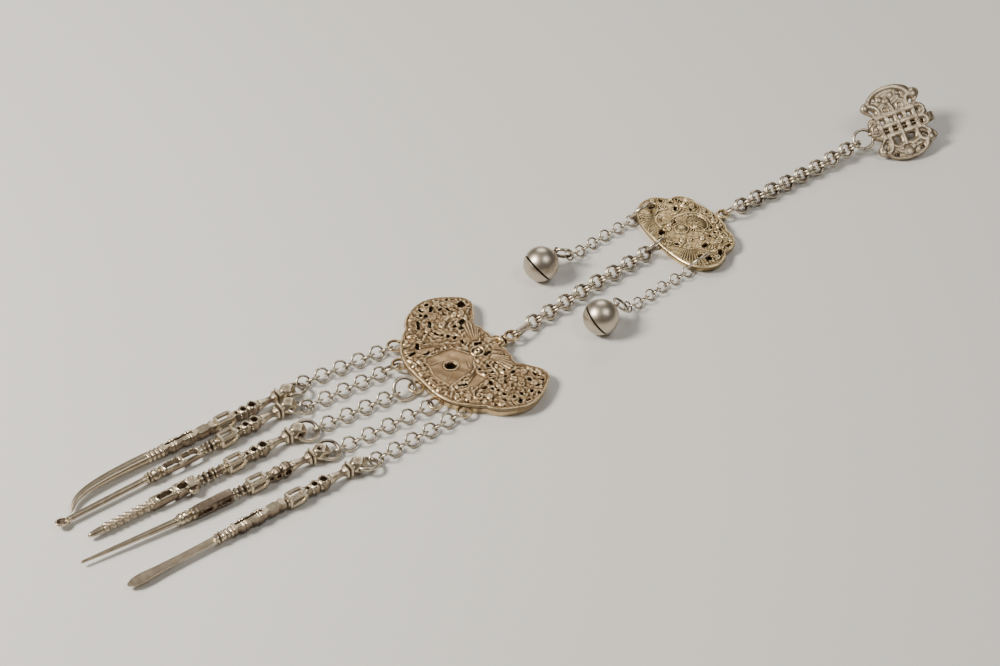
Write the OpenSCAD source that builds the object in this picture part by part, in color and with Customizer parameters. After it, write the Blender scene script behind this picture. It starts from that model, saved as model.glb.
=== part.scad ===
// Pierced silver chatelaine: a belt clip, a middle plaque with two bells, a large plaque and five
// grooming tools on chains. Millimetres, +Z up, lying on the plane z = 0 with the clip towards +X.

/* [Clip] */
// Half length of the clip plate along the chain
clip_half_l = 12.3; // [11:0.1:13]
// Half width of the clip plate over its two lobes
clip_half_w = 15.3; // [14:0.1:16]
// Thickness of the clip plate
clip_t = 1.8; // [1.4:0.1:2.2]
// Roll of the plate, which leans on its hook
clip_tilt = 33; // [31:0.5:34]
// Depth of the belt hook behind the plate
hook_depth = 6.9; // [6.4:0.1:7]
// Width of the hook's strip
hook_w = 3.0; // [2.4:0.1:3.4]

/* [Chains] */
// Ring radius of the double chains, at the middle of the wire
double_r = 2.43; // [2.36:0.01:2.5]
// Wire radius of the double chains
double_wire = 0.33; // [0.28:0.01:0.34]
// Ring radius of the tool chains
single_r = 2.33; // [2.25:0.01:2.4]
// Wire radius of the tool chains
single_wire = 0.28; // [0.24:0.01:0.3]
// Ring radius of the bell chains
fine_r = 1.93; // [1.85:0.01:1.95]
// Wire radius of the bell chains
fine_wire = 0.23; // [0.2:0.01:0.25]

/* [Plaques] */
// Height of the large plaque's top face
large_h = 4.0; // [3.6:0.1:4.4]
// Height of the middle plaque's top face
mid_h = 3.2; // [3:0.1:3.5]
// Thickness of the plaques' top face
skin = 0.9; // [0.7:0.1:1.1]
// Thickness of the plaques' side wall
wall = 0.9; // [0.7:0.1:1.1]

/* [Bells] */
// Outer radius of a bell
bell_r = 6.6; // [6.3:0.1:6.7]
// Wall thickness of a bell
bell_wall = 0.7; // [0.5:0.05:0.9]
// Width of the slit in a bell
slit_w = 0.5; // [0.4:0.05:0.7]

/* [Tools] */
// Width of the lantern section of every tool
lantern_w = 4.6; // [4.2:0.1:4.8]
// Width of the knob at the head of every tool
knob_w = 4.8; // [4.4:0.1:5]
// Height of the tool's axis at its head
head_z = 3.15; // [3.1:0.05:3.3]
// Slope of the tools down to their tips, in degrees
tool_slope = 0.6; // [0.4:0.1:1]

/* [Hidden] */
$fn = 48;

silver = "#b3a48f";
bright = "#d2c6b4";
warm = "#b59a72";

// The middle of the whole piece as it lies, taken away from every place below
middle = [13.34, -4.09, 0];

// The lie of the clip, the plaques and the bells: where their own origins sit
clip_at = [188.6, -15.0, 9.16];
clip_turn = [clip_tilt, -5, -16.7];
clip_lug = [-11.8, -0.6, -1.4];
mid_at = [87, -4, 0];
mid_turn = -6;
large_at = [-23, -5, 0];
large_turn = -3.5;
bell_far_at = [30.8, 13.3, bell_r];
bell_near_at = [28.6, -22.3, bell_r];
bell_far_axis = [0.96, 0.06, 0.27];
bell_near_axis = [0.97, -0.01, 0.23];
bell_far_slit = [0.774, -0.186, 0.601];
bell_near_slit = [0.71, -0.37, 0.60];

// How far apart the two rings of a pair sit, each way, and the roll of the links
pair_half = 0.4;
roll = 45;

// Rings: place, roll about the chain, rise, heading, radius and wire
clip_ring_row = [[174.04, -10.82, 5.53], 34, 13, -14, 3.6, 0.42];
upper_jump_row = [[108.4, -6.4, 2.82], -44, 8, -11, 3.4, 0.42];
bell_ring_far_row = [[80.5, 13.4, 4.45], -60, 0, 0, 4.6, 0.42];
bell_ring_near_row = [[77.4, -21.2, 4.45], -60, 0, 0, 4.6, 0.42];
mid_lower_row = [[71.4, -4.1, 4.05], -60, 0, 0, 4.1, 0.42];
plaque_ring_2_row = [[-43.2, 8.65, 2.7], -40, 0, -8, 3.4, 0.4];
plaque_ring_3_row = [[-46.3, -3.1, 3.2], 42, 0, -10, 3.7, 0.45];

// Paths of the chains, from the first link's centre to the last one's
upper_path = [[113.2, -6.8, 2.4], [150, -9.0, 2.45], [169.2, -10.4, 4.4]];
lower_path = [[66.8, -3.7, 2.4], [40, -4.1, 2.4], [11.0, -5.4, 2.4]];
bell_far_path = [[43.9, 12.6, 4.0], [49.5, 13.4, 1.9], [62, 14.2, 1.65], [75.9, 14.0, 1.9]];
bell_near_path = [[41.5, -22.4, 3.9], [46.5, -21.6, 1.9], [60, -20.6, 1.65], [72.7, -20.6, 1.9]];

// The five eyes on the lower edge of the large plaque, in its own frame
lower_eyes = [[-13.1, 21.3], [-17.3, 12.4], [-19.2, -0.6], [-18.4, -11.3], [-12.6, -20.6]];
eye_r = 2.4;
eye_wire = 0.42;
mid_eye_x = 17.6;
top_eye_x = 23.2;
top_eye_z = 3.2;
eye_z = 2.5;

// The tools: place of the knob's outer end and the slant away from the chain's line, then the turn,
// roll and radius of the ring through the knob
tool_rows = [
    [-76.1, 22.0, 5.5, -4, -16, 3.9],
    [-79.8, 16.3, 3.0, -42, -16, 3.75],
    [-84.8, 4.2, 4.1, -22, 16, 3.75],
    [-84.8, -9.2, 5.8, -6, 16, 3.6],
    [-78.8, -22.0, 3.5, -20, -16, 3.75]];
tool_ring_wire = 0.45;
// How far the tool rings slope down from the knob
ring_rise = -8;
knob_hole = 3.3;

// Length of a path, and the point at a distance along it
function path_len(p, i = 0) = i >= len(p) - 1 ? 0 : norm(p[i + 1] - p[i]) + path_len(p, i + 1);
function path_at(p, d, i = 0) =
    let (s = norm(p[i + 1] - p[i]))
    (d <= s || i == len(p) - 2) ? p[i] + (p[i + 1] - p[i]) * d / s : path_at(p, d - s, i + 1);

// Rounds an outline: three points for each side, on a curve through all the given corners
function curve(a, b, c, d, t) =
    0.5 * (2 * b + (c - a) * t + (2 * a - 5 * b + 4 * c - d) * t * t + (3 * b - a - 3 * c + d) * t * t * t);
function rounded(p, steps = 3) = let (n = len(p))
    [for (i = [0:n - 1], k = [0:steps - 1])
        curve(p[(i + n - 1) % n], p[i], p[(i + 1) % n], p[(i + 2) % n], k / steps)];
// A half outline and its mirror image, as one closed outline
function mirrored(p) = let (n = len(p))
    concat(p, [for (i = [n - 1:-1:0]) if (p[i].y > 0.01) [p[i].x, -p[i].y]]);

// Half outlines, from the head end round the far side to the lower end
large_half = [[18.6, 0], [18.4, 2.8], [16.6, 3.4], [16.9, 5.6], [16.3, 7.2], [16.6, 9.2], [15.6, 10.8],
    [15.6, 13.0], [17.5, 15], [19.2, 17.7], [20.9, 20.3], [21.5, 23.1], [20.6, 25.8], [18.3, 27.9],
    [15.5, 30], [12, 31.9], [8.3, 32.9], [4.5, 32.7], [0, 30.9], [-3, 29], [-5.3, 26.4], [-6.2, 24.7],
    [-7.6, 23.7], [-10.2, 21.4], [-13, 18.2], [-15.2, 14.6], [-16.6, 10], [-17, 5], [-17, 0]];
mid_half = [[14.8, 0], [14.7, 2.5], [14.2, 5.4], [13.8, 7.4], [13, 8.8], [13.1, 11.5], [12.3, 14],
    [10.8, 16.3], [8.5, 17.9], [6.2, 18.1], [4.8, 18.8], [3.4, 20.4], [1, 22], [-2, 22.5], [-5, 21.8],
    [-8, 20], [-10, 17.5], [-11.5, 14], [-12.3, 10], [-12.8, 5], [-12.9, 0]];
clip_half = [[1, 0], [1, 0.16], [0.91, 0.28], [0.76, 0.34], [0.88, 0.43], [1, 0.54], [1.01, 0.64],
    [0.91, 0.72], [0.76, 0.75], [0.68, 0.83], [0.49, 0.92], [0.25, 0.98], [0, 1], [-0.25, 0.98],
    [-0.49, 0.92], [-0.68, 0.83], [-0.76, 0.75], [-0.91, 0.72], [-1.01, 0.64], [-1, 0.54],
    [-0.88, 0.43], [-0.76, 0.34], [-0.91, 0.28], [-1, 0.16], [-1, 0]];

// Holes: place along and across, length, width and angle
large_holes = [
    [7.2, 27.5, 3.2, 1.1, 50], [2.4, 27, 1.6, 1.1, 60], [3.5, 25.5, 2.2, 1, 50], [3.8, 29, 2.2, 1.1, 100],
    [7.2, 30.4, 1.8, 1, 15], [-1.4, 23.3, 4.6, 0.9, 60], [2.2, 21.2, 3.4, 1, 60], [1.4, 15.6, 1.9, 0.9, 100],
    [2.4, 13.9, 1.1, 1, 0], [4, 12.3, 1.5, 1.2, 0], [17.5, 23.1, 3.4, 2.6, 60], [12.1, 23.8, 2, 0.8, 80],
    [8.9, 15.1, 1.5, 1.3, 0], [12.4, 15.5, 2.8, 1.7, 20], [10.3, 12.9, 1.6, 1.2, 50],
    [5.4, 10.1, 2, 1.2, 20], [6.4, 6.9, 1.9, 1, 90], [14.8, 28.4, 1.4, 0.8, 20], [9.8, 25.4, 1.5, 0.8, 0],
    [3.5, -11.3, 1.2, 0.9, 0], [5.8, -12.2, 1.4, 0.9, -40], [3.8, -13.6, 1.2, 0.8, 20],
    [2, -16.2, 2.4, 1.1, 65], [-1.3, -16.8, 2, 1, -15], [0.7, -18.8, 1.3, 0.9, 70],
    [2.1, -20.6, 1.2, 0.9, 0],
    [2.6, -23.4, 1.5, 1.1, 80], [1.1, -26, 1.4, 1, -40], [4.6, -26.5, 1.5, 1, 30],
    [7.7, -27.1, 1.6, 0.9, 80],
    [11.2, -27.9, 1.6, 1, 50], [5.1, -29.4, 2.4, 1.2, 55], [7.6, -30.8, 1.6, 0.8, 0],
    [12.9, -29.9, 1.6, 0.8, 30], [14.1, -22.7, 1.7, 1.2, 80], [17.2, -21.5, 1.7, 0.9, 80],
    [17.8, -25.6, 1.7, 0.8, 10], [11.7, -16.2, 1.6, 1.1, 20], [8.3, -16.4, 1.2, 0.9, 30],
    [9.8, -13.5, 1, 0.7, 90], [14.7, -26.9, 2, 0.8, 15],
    [-4.3, -0.8, 3.6, 3, -30], [-11.4, 12.3, 3.4, 1.1, 10], [-7.9, 14.5, 3, 1.1, 55],
    [-7.1, 9.6, 3, 1.3, 10], [-2.9, 9.4, 1.3, 1, 0], [-6.4, -11.1, 3.6, 1, -15], [3, -8.4, 1.2, 1, 0],
    [6.5, -8.4, 1.6, 0.7, 80], [10.3, 3, 2.8, 1.2, -25], [10.1, -3.2, 3, 1.2, 15]];
mid_holes = [
    [2.1, 18.6, 2.2, 1.2, 75], [3.8, 11.6, 2.8, 1, 50], [4.6, 15.6, 1.2, 1, 0], [7.6, 15.7, 1, 0.8, 0],
    [8.2, 7.9, 1.4, 0.8, 80], [11, 8.2, 1.2, 0.8, 90], [-8.4, 3.4, 2.8, 2.2, 40], [-1.2, 5.2, 1.8, 0.7, 50],
    [-7.8, -5.1, 1.6, 1, -40], [5.1, -8.5, 1.4, 0.8, 40], [8.5, -4.6, 1.5, 0.7, 70],
    [7.8, -7.7, 1.3, 0.9, 80], [10.8, -7.4, 1.3, 0.8, 80], [0.4, -11.5, 2.8, 1.4, 20],
    [-4.6, -15.4, 2.2, 1.5, 0], [2.9, -17.6, 3.2, 1.2, 45], [7.9, -16.1, 2.2, 0.9, 10]];
// The three holes that the large rings pass through
ring_holes = [[-3.0, 18.0, 1.7], [-2.9, -18.0, 1.2], [-11.0, 0.3, 1.2]];
clip_holes = [
    [-8.3, -6, 1.9, 1.8, 20], [-5, -10.9, 2.1, 1.2, -40], [5.5, -12, 1.9, 1, 30], [8.6, -7.5, 2.6, 1.1, -45],
    [-6.2, 12, 1.6, 1.2, 0], [4.2, 11.4, 1.7, 0.9, -45], [-8.8, 8.4, 2.2, 1, -40], [7.8, 6.6, 2.2, 1.3, 40],
    [-2.9, -5.4, 3, 2.8, 90], [3.4, -5.8, 3, 2.8, 60], [9.2, 2, 1.4, 0.7, -60], [9.4, -2.5, 1.4, 0.7, 80]];

// Bare shapes

module torus(radius, wire) {
    rotate_extrude() translate([radius, 0]) circle(wire);
}

// The same ring in few faces, for the eyes and the room cut in the plaques
module plain_torus(radius, wire) {
    rotate_extrude($fn = 14) translate([radius, 0]) circle(wire, $fn = 6);
}

// A ring from its row, with extra wire for a clearance cut
module ring(row, extra = 0) {
    translate(row[0]) rotate([row[1], -row[2], row[3]]) torus(row[4], row[5] + extra);
}

// Links along a path, every second one rolled the other way, single or in pairs
module chain(path, n, radius, wire, first_roll, pair = 0) {
    step = path_len(path) / (n - 1);
    sides = pair > 0 ? [-1, 1] : [0];
    for (i = [0:n - 1]) {
        here = path_at(path, i * step);
        way = path_at(path, (i + 0.5) * step) - path_at(path, (i - 0.5) * step);
        spin = i % 2 == 0 ? first_roll : -first_roll;
        translate(here) rotate([spin, -asin(way.z / norm(way)), atan2(way.y, way.x)])
            for (side = sides) translate([0, 0, side * pair]) torus(radius, wire);
    }
}

// A hole with round ends, through everything
module slot_hole(row, depth) {
    translate([row[0], row[1], 0]) rotate(row[4]) linear_extrude(depth, center = true)
        scale([row[2] / row[3], 1]) circle(d = row[3], $fn = 6);
}

// Relief laid on a face at z = 0: a rib, a curl, a bead and a flower
module rib(x1, y1, x2, y2, r) {
    hull() {
        translate([x1, y1, 0]) cylinder(r * 0.8, r, r * 0.4, $fn = 5);
        translate([x2, y2, 0]) cylinder(r * 0.6, r * 0.7, r * 0.3, $fn = 5);
    }
}
module curl(x, y, radius, start, r = 0.35) {
    translate([x, y, -0.05]) rotate(start) rotate_extrude(angle = 270, $fn = 10)
        translate([radius, 0]) polygon([[-r, 0], [r, 0], [0, r]]);
}
module bead(x, y, r) {
    translate([x, y, -0.05]) cylinder(r * 0.8, r, r * 0.35, $fn = 6);
}
module flower(x, y, r) {
    bead(x, y, r * 0.45);
    for (a = [0:72:288]) bead(x + r * 0.75 * cos(a), y + r * 0.75 * sin(a), r * 0.38);
}
// Ribs fanned round a point
module fan(x, y, r1, r2, from, to, n, r) {
    for (i = [0:n - 1]) {
        a = from + (to - from) * i / (n - 1);
        rib(x + r1 * cos(a), y + r1 * sin(a), x + r2 * cos(a), y + r2 * sin(a), r);
    }
}

// A raised line along an outline, in from its edge
module rim(outline, inset, width, height) {
    linear_extrude(height) difference() {
        offset(delta = -inset) polygon(outline);
        offset(delta = -inset - width) polygon(outline);
    }
}

// A plaque's body: a face on a side wall that draws in towards its foot, open below
module box_body(outline, height, foot) {
    difference() {
        translate([0, 0, height]) mirror([0, 0, 1]) linear_extrude(height, scale = foot) polygon(outline);
        translate([0, 0, -0.01]) mirror([0, 0, 1]) translate([0, 0, skin - height])
            linear_extrude(height, scale = foot) offset(delta = -wall) polygon(outline);
    }
}

// Clip

module place_clip() {
    translate(clip_at) rotate(clip_turn) children();
}

// The endless knot: bands along and across, with square gaps between them
module knot_gaps() {
    for (x = [-5.8, -1.95, 1.95, 5.8]) {
        translate([x, 2.1, 0]) cube([1.5, 1.6, 6], center = true);
        for (y = [-1.5, -2.9]) translate([x, y, 0]) cube([1.7, 0.75, 6], center = true);
    }
}

module lobe_relief(side) {
    mirror([0, side < 0 ? 1 : 0, 0]) {
        for (x = [-1, 1]) {
            bead(x * 11.2, 9.6, 1.3);
            curl(x * 6.4, 12.2, 1.6, x > 0 ? -60 : -30, 0.45);
            curl(x * 8.6, 8.2, 1.5, x > 0 ? 200 : 70, 0.45);
            bead(x * 3, 13.4, 0.8);
        }
        rib(-9, 5.6, -3, 4.6, 0.5);
        rib(9, 5.6, 3, 4.6, 0.5);
        rib(-5.4, 10.4, 0, 11.2, 0.5);
        rib(5.4, 10.4, 0, 11.2, 0.5);
        bead(0, 12.6, 0.9);
        rib(0, 8.6, 0, 5, 0.6);
    }
}

// A flat strip from the back of the plate, bent round past its head and back to a turned-up tip
module belt_hook() {
    bend = hook_depth / 2 - 0.5;
    reach = clip_half_l + 0.4;
    rotate([90, 0, 0]) linear_extrude(hook_w, center = true) {
        translate([2, -clip_t / 2 - 0.9]) square([reach - 2, 1]);
        translate([reach, -clip_t / 2 - 0.9 + 1 - hook_depth / 2]) difference() {
            circle(hook_depth / 2, $fn = 32);
            circle(hook_depth / 2 - 1, $fn = 32);
            translate([-10, -5]) square([10, 10]);
        }
        translate([-6, -clip_t / 2 + 0.1 - hook_depth]) square([reach + 6, 1]);
        translate([-6, -clip_t / 2 + 0.1 - hook_depth]) rotate(155) translate([-0.4, -1]) square([3.6, 1]);
    }
}

module clip_plate() {
    outline = rounded([for (p = mirrored(clip_half)) [p.x * clip_half_l, p.y * clip_half_w]], 1);
    color(silver) place_clip() {
        difference() {
            union() {
                linear_extrude(clip_t, center = true) polygon(outline);
                translate([0, 0, clip_t / 2]) {
                    rim(outline, 0.15, 0.7, 0.35);
                    lobe_relief(1);
                    lobe_relief(-1);
                    curl(-9.6, 0.8, 1.9, 60, 0.5);
                    bead(-9.6, 0.8, 0.8);
                    for (y = [-3.4, 3.4]) curl(9.6, y * 0.8, 1.15, y > 0 ? 180 : 0, 0.4);
                }
                for (x = [-7.7, -3.9, 0, 3.9, 7.7]) translate([x, 0.1, clip_t / 2])
                    cube([1.1, 8.4, 0.7], center = true);
                for (y = [4.1, 0.2, -2.2, -4.1]) translate([0, y, clip_t / 2])
                    cube([16.5, 0.8, 0.5], center = true);
            }
            knot_gaps();
            for (row = clip_holes) slot_hole(row, 8);
        }
        translate(clip_lug) rotate([90, 0, 0]) plain_torus(1.25, 0.42);
        translate([0, -1.2, 0]) belt_hook();
    }
}

// Middle plaque

module place_mid() {
    translate(mid_at) rotate(mid_turn) children();
}

module mid_relief() {
    // Ribbed shells at the lower end, on both sides
    for (s = [-1, 1]) {
        fan(-4.6, s * 12.5, 1.5, 6.2, s * 95, s * 215, 8, 0.4);
        curl(9.7, s * 12.4, 2.0, s > 0 ? -40 : 100, 0.45);
        bead(9.7, s * 12.4, 0.8);
        flower(2.6, s * 14.4, 1.6);
        curl(0.8, s * 20, 1.2, s > 0 ? 20 : 70, 0.4);
        for (y = [1.4, 4.4, 7.6]) curl(12.6, s * y, 1.0, 90 + s * 30, 0.4);
        for (y = [3, 6.4]) bead(10.6, s * y, 0.6);
    }
    // The dome in the middle with arcs round it, and the ribbed dome towards the head
    translate([0.5, 0.5, 0]) scale([1, 1, 0.45]) sphere(2.3, $fn = 16);
    for (r = [3.3, 4.3]) curl(0.5, 0.5, r, -100, 0.35);
    translate([6.4, 0.4, 0]) scale([1, 1.35, 0.4]) sphere(2.4, $fn = 16);
    fan(-4, 0, 1.4, 5.2, 130, 230, 7, 0.35);
    bead(-6.6, -1.8, 0.8);
    bead(-3, -3.4, 0.9);
}

module ring_hole(h) {
    translate([h[0], h[1], 0]) cylinder(20, h[2], h[2], center = true, $fn = 10);
}

module mid_plaque() {
    outline = rounded(mirrored(mid_half), 1);
    color(warm) difference() {
        place_mid() {
            difference() {
                box_body(outline, mid_h, 0.93);
                for (row = mid_holes) slot_hole(row, 20);
                for (h = ring_holes) ring_hole(h);
            }
            translate([0, 0, mid_h]) difference() {
                union() {
                    mid_relief();
                    rim(outline, 0.2, 0.6, 0.3);
                }
                for (row = mid_holes) slot_hole(row, 20);
                for (h = ring_holes) ring_hole(h);
            }
            translate([mid_eye_x, 0, mid_h - 0.6]) plain_torus(1.9, 0.5);
            translate([14, -0.8, mid_h - 0.9]) cube([1.7, 1.6, 0.6]);
        }
        // Notches in the side wall for the three large rings
        for (row = [bell_ring_far_row, bell_ring_near_row, mid_lower_row])
            translate(row[0]) rotate([row[1], -row[2], row[3]]) plain_torus(row[4], row[5] + 0.35);
    }
}

// Large plaque

module place_large() {
    translate(large_at) rotate(large_turn) children();
}

module wing_relief(s) {
    // Scrolls and flowers between the holes, and feather ribs from the knob to the wing's edge
    curl(10.4, s * 28.2, 1.5, 30, 0.4);
    curl(5.2, s * 23.4, 1.3, 160, 0.4);
    curl(14.4, s * 25.6, 1.3, -30, 0.4);
    curl(-1.2, s * 27.2, 1.4, 90, 0.4);
    curl(14.6, s * 19.4, 1.4, 200, 0.4);
    curl(5.6, s * 18.2, 1.5, 0, 0.4);
    curl(0, s * 19.6, 1.2, 120, 0.4);
    flower(9.4, s * 21.2, 2.0);
    flower(17.6, s * 19.0, 1.2);
    bead(11.2, s * 30, 0.7);
    bead(0.6, s * 25, 0.6);
    fan(8, 0, 7, 15.2, s * 52, s * 72, 4, 0.45);
    fan(8, 0, 6, 10.4, s * 20, s * 46, 4, 0.5);
}

module large_relief() {
    for (s = [-1, 1]) {
        wing_relief(s);
        curl(-12.4, s * 16.6, 1.1, 40, 0.35);
        curl(-10, s * 19, 1.1, 200, 0.35);
        rib(-14.6, s * 7, -15, s * 2, 0.5);
        rib(-13.6, s * 11, -14.6, s * 7.4, 0.5);
        rib(-12.6, s * 4.4, -12.9, s * 1.4, 0.4);
        rib(0.5, s * 12, -4.4, s * 17.4, 0.5);
    }
    // The knob below the head and the smooth field in the middle
    bead(7.9, -0.2, 1.5);
    curl(7.9, -0.2, 2.3, -60, 0.4);
    translate([-4.3, -0.8, 0]) curl(0, 0, 2.5, 0, 0.3);
    for (x = [-9.4, 1.2]) rib(x, -7.4, x + 1.4, 6.6, 0.4);
    rib(-9, -7.6, 2, -8.2, 0.35);
    rib(-8.4, 7.2, 1.6, 8, 0.35);
}

module large_plaque() {
    outline = rounded(mirrored(large_half), 1);
    color(silver) place_large() {
        difference() {
            union() {
                box_body(outline, large_h, 0.96);
                translate([0, 0, large_h]) {
                    large_relief();
                    rim(outline, 0.1, 0.6, 0.35);
                }
                // The lug at the head, a turned baluster
                translate([18, 0, large_h - 1]) rotate([0, 90, 0]) cylinder(2, 2.5, 1.7, $fn = 10);
                translate([19.8, 0, large_h - 1]) rotate([0, 90, 0]) cylinder(1.2, 1.9, 1.5, $fn = 10);
            }
            for (row = large_holes) slot_hole(row, 20);
            translate([17, -3, -5]) cube([5, 6, 5]);
        }
        translate([top_eye_x, 0, top_eye_z]) plain_torus(2.2, 0.5);
        for (p = lower_eyes) translate([p.x, p.y, eye_z]) plain_torus(eye_r, eye_wire);
    }
}

// Oblong link: two long rings side by side

module oblong() {
    straight = 5.0;
    bend = 2.0;
    wire = 0.32;
    for (side = [-1, 1]) translate([0, 0, side * 0.38]) {
        for (y = [-bend, bend]) translate([-straight / 2, y, 0]) rotate([0, 90, 0])
            cylinder(straight, wire, wire);
        for (end = [0, 180]) rotate(end) translate([straight / 2, 0, 0]) rotate(-90)
            rotate_extrude(angle = 180) translate([bend, 0]) circle(wire);
    }
}

// Bells

function steer(v) = [0, acos(v.z / norm(v)), atan2(v.y, v.x)];

// A hollow ball with its eye along the axis, and a slit round part of it with a round hole at each end
module bell(at, axis, eye_spin, slit_axis) {
    translate(at) {
        difference() {
            union() {
                rotate(cup_turn) sphere(bell_r);
                rotate(steer(axis)) translate([0, 0, bell_r - 0.3]) cylinder(0.7, 1.2, 1.2);
            }
            rotate(cup_turn) sphere(bell_r - bell_wall);
            rotate(steer(slit_axis)) translate([0, 0, slit_off]) {
                rotate(slit_from) rotate_extrude(angle = slit_turn)
                    translate([bell_r - 2, -slit_w / 2]) square([4, slit_w]);
                for (a = [slit_from, slit_from + slit_turn]) rotate([0, 90, a])
                    translate([0, 0, bell_r - 3]) cylinder(4, 0.9, 0.9);
            }
        }
        rotate(steer(axis)) translate([0, 0, bell_r + bell_eye_h]) rotate([90, 0, eye_spin])
            torus(bell_eye_r, bell_eye_wire);
    }
}
slit_from = 75;
slit_turn = 230;
slit_off = -1.6;
cup_turn = -60;
bell_eye_h = 1.2;
bell_eye_r = 1.05;
bell_eye_wire = 0.28;

bell_loop_far_row = [[40.77, 12.75, 6.66], -22, -61, 19, 3.2, 0.42];
bell_loop_near_row = [[38.7, -21.83, 6.29], 41, -6, 63, 3.2, 0.42];

// Tools: along their own +X from the knob's outer end

module place_tool(k) {
    row = tool_rows[k];
    translate([row[0], row[1], head_z]) rotate([0, tool_slope, 180 - row[2]]) children();
}

// The row of the ring that passes through the knob of tool k
function tool_ring_row(k) =
    let (row = tool_rows[k], slant = 180 - row[2],
        hole = [row[0] + knob_hole * cos(slant), row[1] + knob_hole * sin(slant), head_z - 0.1])
    [hole + row[5] * [cos(row[3]) * cos(ring_rise), sin(row[3]) * cos(ring_rise), sin(ring_rise)],
        row[4], ring_rise, row[3], row[5], tool_ring_wire];

module disc(u, length, r) {
    translate([u, 0, 0]) rotate([0, 90, 0]) cylinder(length, r, r);
}
module block(u, length, w, h) {
    translate([u, -w / 2, -h / 2]) cube([length, w, h]);
}

// Knob cut to facets, flared collar, waisted neck, pierced scroll, and lantern with four corner bars
module tool_head() {
    intersection() {
        block(0, 5.6, knob_w, knob_w);
        translate([2.8, 0, 0]) rotate([45, 0, 0]) cube([9, knob_w * 1.15, knob_w * 1.15], center = true);
        translate([2.8, 0, 0]) rotate([0, 45, 0]) cube([knob_w * 1.25, 9, knob_w * 1.25], center = true);
        translate([2.8, 0, 0]) rotate([0, 0, 45]) cube([knob_w * 1.25, knob_w * 1.25, 9], center = true);
    }
    block(5, 1.2, 3.2, 3.2);
    block(5.9, 0.6, 4.9, 4.9);
    block(6.3, 2.6, 2.6, 2.6);
    block(6.9, 0.5, 4.4, 4.4);
    block(7.8, 0.5, 3.8, 3.8);
    translate([8.2, 0, 0]) rotate([45, 0, 0]) rotate([0, 90, 0]) cylinder(1.6, 2.3, 1.3, $fn = 4);
    translate([9.7, 0, 0]) rotate([45, 0, 0]) rotate([0, 90, 0]) cylinder(4.8, 1.35, 2.2, $fn = 4);
    translate([14.3, 0, 0]) scroll_block();
    disc(24.2, 0.8, 2.1);
    lantern();
}

module scroll_block() {
    intersection() {
        difference() {
            linear_extrude(4.0, center = true) scroll_outline();
            for (h = [[2.5, 1.05], [6.1, 0.85], [9.0, 0.5]])
                translate([h[0], 0, 0]) cylinder(8, h[1], h[1], center = true);
        }
        rotate([90, 0, 0]) linear_extrude(8, center = true) scroll_outline();
    }
}
module scroll_outline() {
    translate([2.4, 0]) circle(2.15);
    translate([6.0, 0]) circle(2.0);
    translate([8.9, 0]) circle(1.5);
    translate([0, -1.4]) square([10.2, 2.8]);
}

module lantern() {
    difference() {
        block(24.9, 6.8, lantern_w, lantern_w);
        block(26.1, 4.4, lantern_w * 0.66, lantern_w + 1);
        block(26.1, 4.4, lantern_w + 1, lantern_w * 0.66);
    }
}

// Turned beads: rows of place, length and radius
module beads(rows) {
    for (b = rows) disc(b[0], b[1], b[2]);
}

// A slotted frame: a flat bar with two windows and a cross bar between them
module slotted_frame(u, length, w, h) {
    difference() {
        block(u, length, w, h);
        block(u + 1.1, length / 2 - 1.7, w - 1.6, h + 1);
        block(u + length / 2 + 0.6, length / 2 - 1.7, w - 1.6, h + 1);
    }
}

// The arched block of the first and last tool: notched sides, ridges, and a slot along its back
module arched_block(u) {
    difference() {
        union() {
            block(u, 9.6, 3.5, 3.5);
            block(u + 9.5, 11, 3.4, 3.5);
            for (a = [9.2, 10.2, 15.4, 16.4]) disc(u + a, 0.6, 2.1);
        }
        for (a = [2.4, 7, 13.2, 18.6], side = [-1, 1])
            translate([u + a, side * 2.5, -1.2]) rotate([0, 0, 45]) cube([1.5, 1.5, 3], center = true);
        translate([u + 8.2, -1.3, 1.1]) cube([11, 0.5, 2]);
    }
}

module blob(u, y, z, a, b, c) {
    translate([u, y, z]) scale([a, b, c]) sphere(1, $fn = 10);
}

module curved_pick_body() {
    tool_head();
    beads([[31.6, 0.7, 1.9]]);
    arched_block(32);
    for (i = [0:5]) block(52.6 + i * 1.8, 1.1, 3.6, 3.0);
    block(52, 11.4, 3.1, 2.6);
    // The blade, flat and slightly bowed, with its tip turned down and to one side
    rows = [[62.6, 0, 0.2, 1, 1.85, 1.5], [70, 0.3, 0.3, 1, 1.8, 1.4], [78, 0.9, 0.3, 1, 1.65, 1.2],
        [84, 1.9, 0.2, 1, 1.4, 0.95], [88, 3.5, -0.1, 0.9, 1.1, 0.75], [91.2, 6.4, -0.7, 0.5, 0.55, 0.5]];
    for (i = [0:len(rows) - 2]) hull() {
        for (r = [rows[i], rows[i + 1]]) blob(r[0], r[1], r[2], r[3], r[4], r[5]);
    }
}

module ear_spoon_body() {
    tool_head();
    beads([[31.6, 1, 1.9], [32.5, 1.4, 1.3], [33.8, 0.9, 2.1], [34.6, 1.2, 1.4], [35.7, 0.7, 2.0],
        [36.3, 1.2, 1.4], [37.4, 0.7, 1.8], [38, 1.6, 1.3]]);
    slotted_frame(39.4, 15, 4.2, 3.0);
    beads([[55.1, 4.2, 1.75], [55.9, 2.2, 2.1]]);
    for (a = [0:60:300]) translate([57, 1.65 * cos(a), 1.65 * sin(a)]) sphere(0.6);
    beads([[54.2, 1, 1.9], [59, 0.7, 2.0], [60.2, 0.7, 1.7], [59, 3, 1.2]]);
    disc(61, 31, 1.12);
    // The spoon: an oval bowl at the end, hollowed from above
    difference() {
        translate([93.6, 0, 0.2]) rotate([0, -14, 0]) scale([2.8, 2.15, 1.15]) sphere(1, $fn = 12);
        translate([94.1, 0, 1.15]) rotate([0, -14, 0]) scale([2.1, 1.55, 1.1]) sphere(1, $fn = 12);
    }
}

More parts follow.
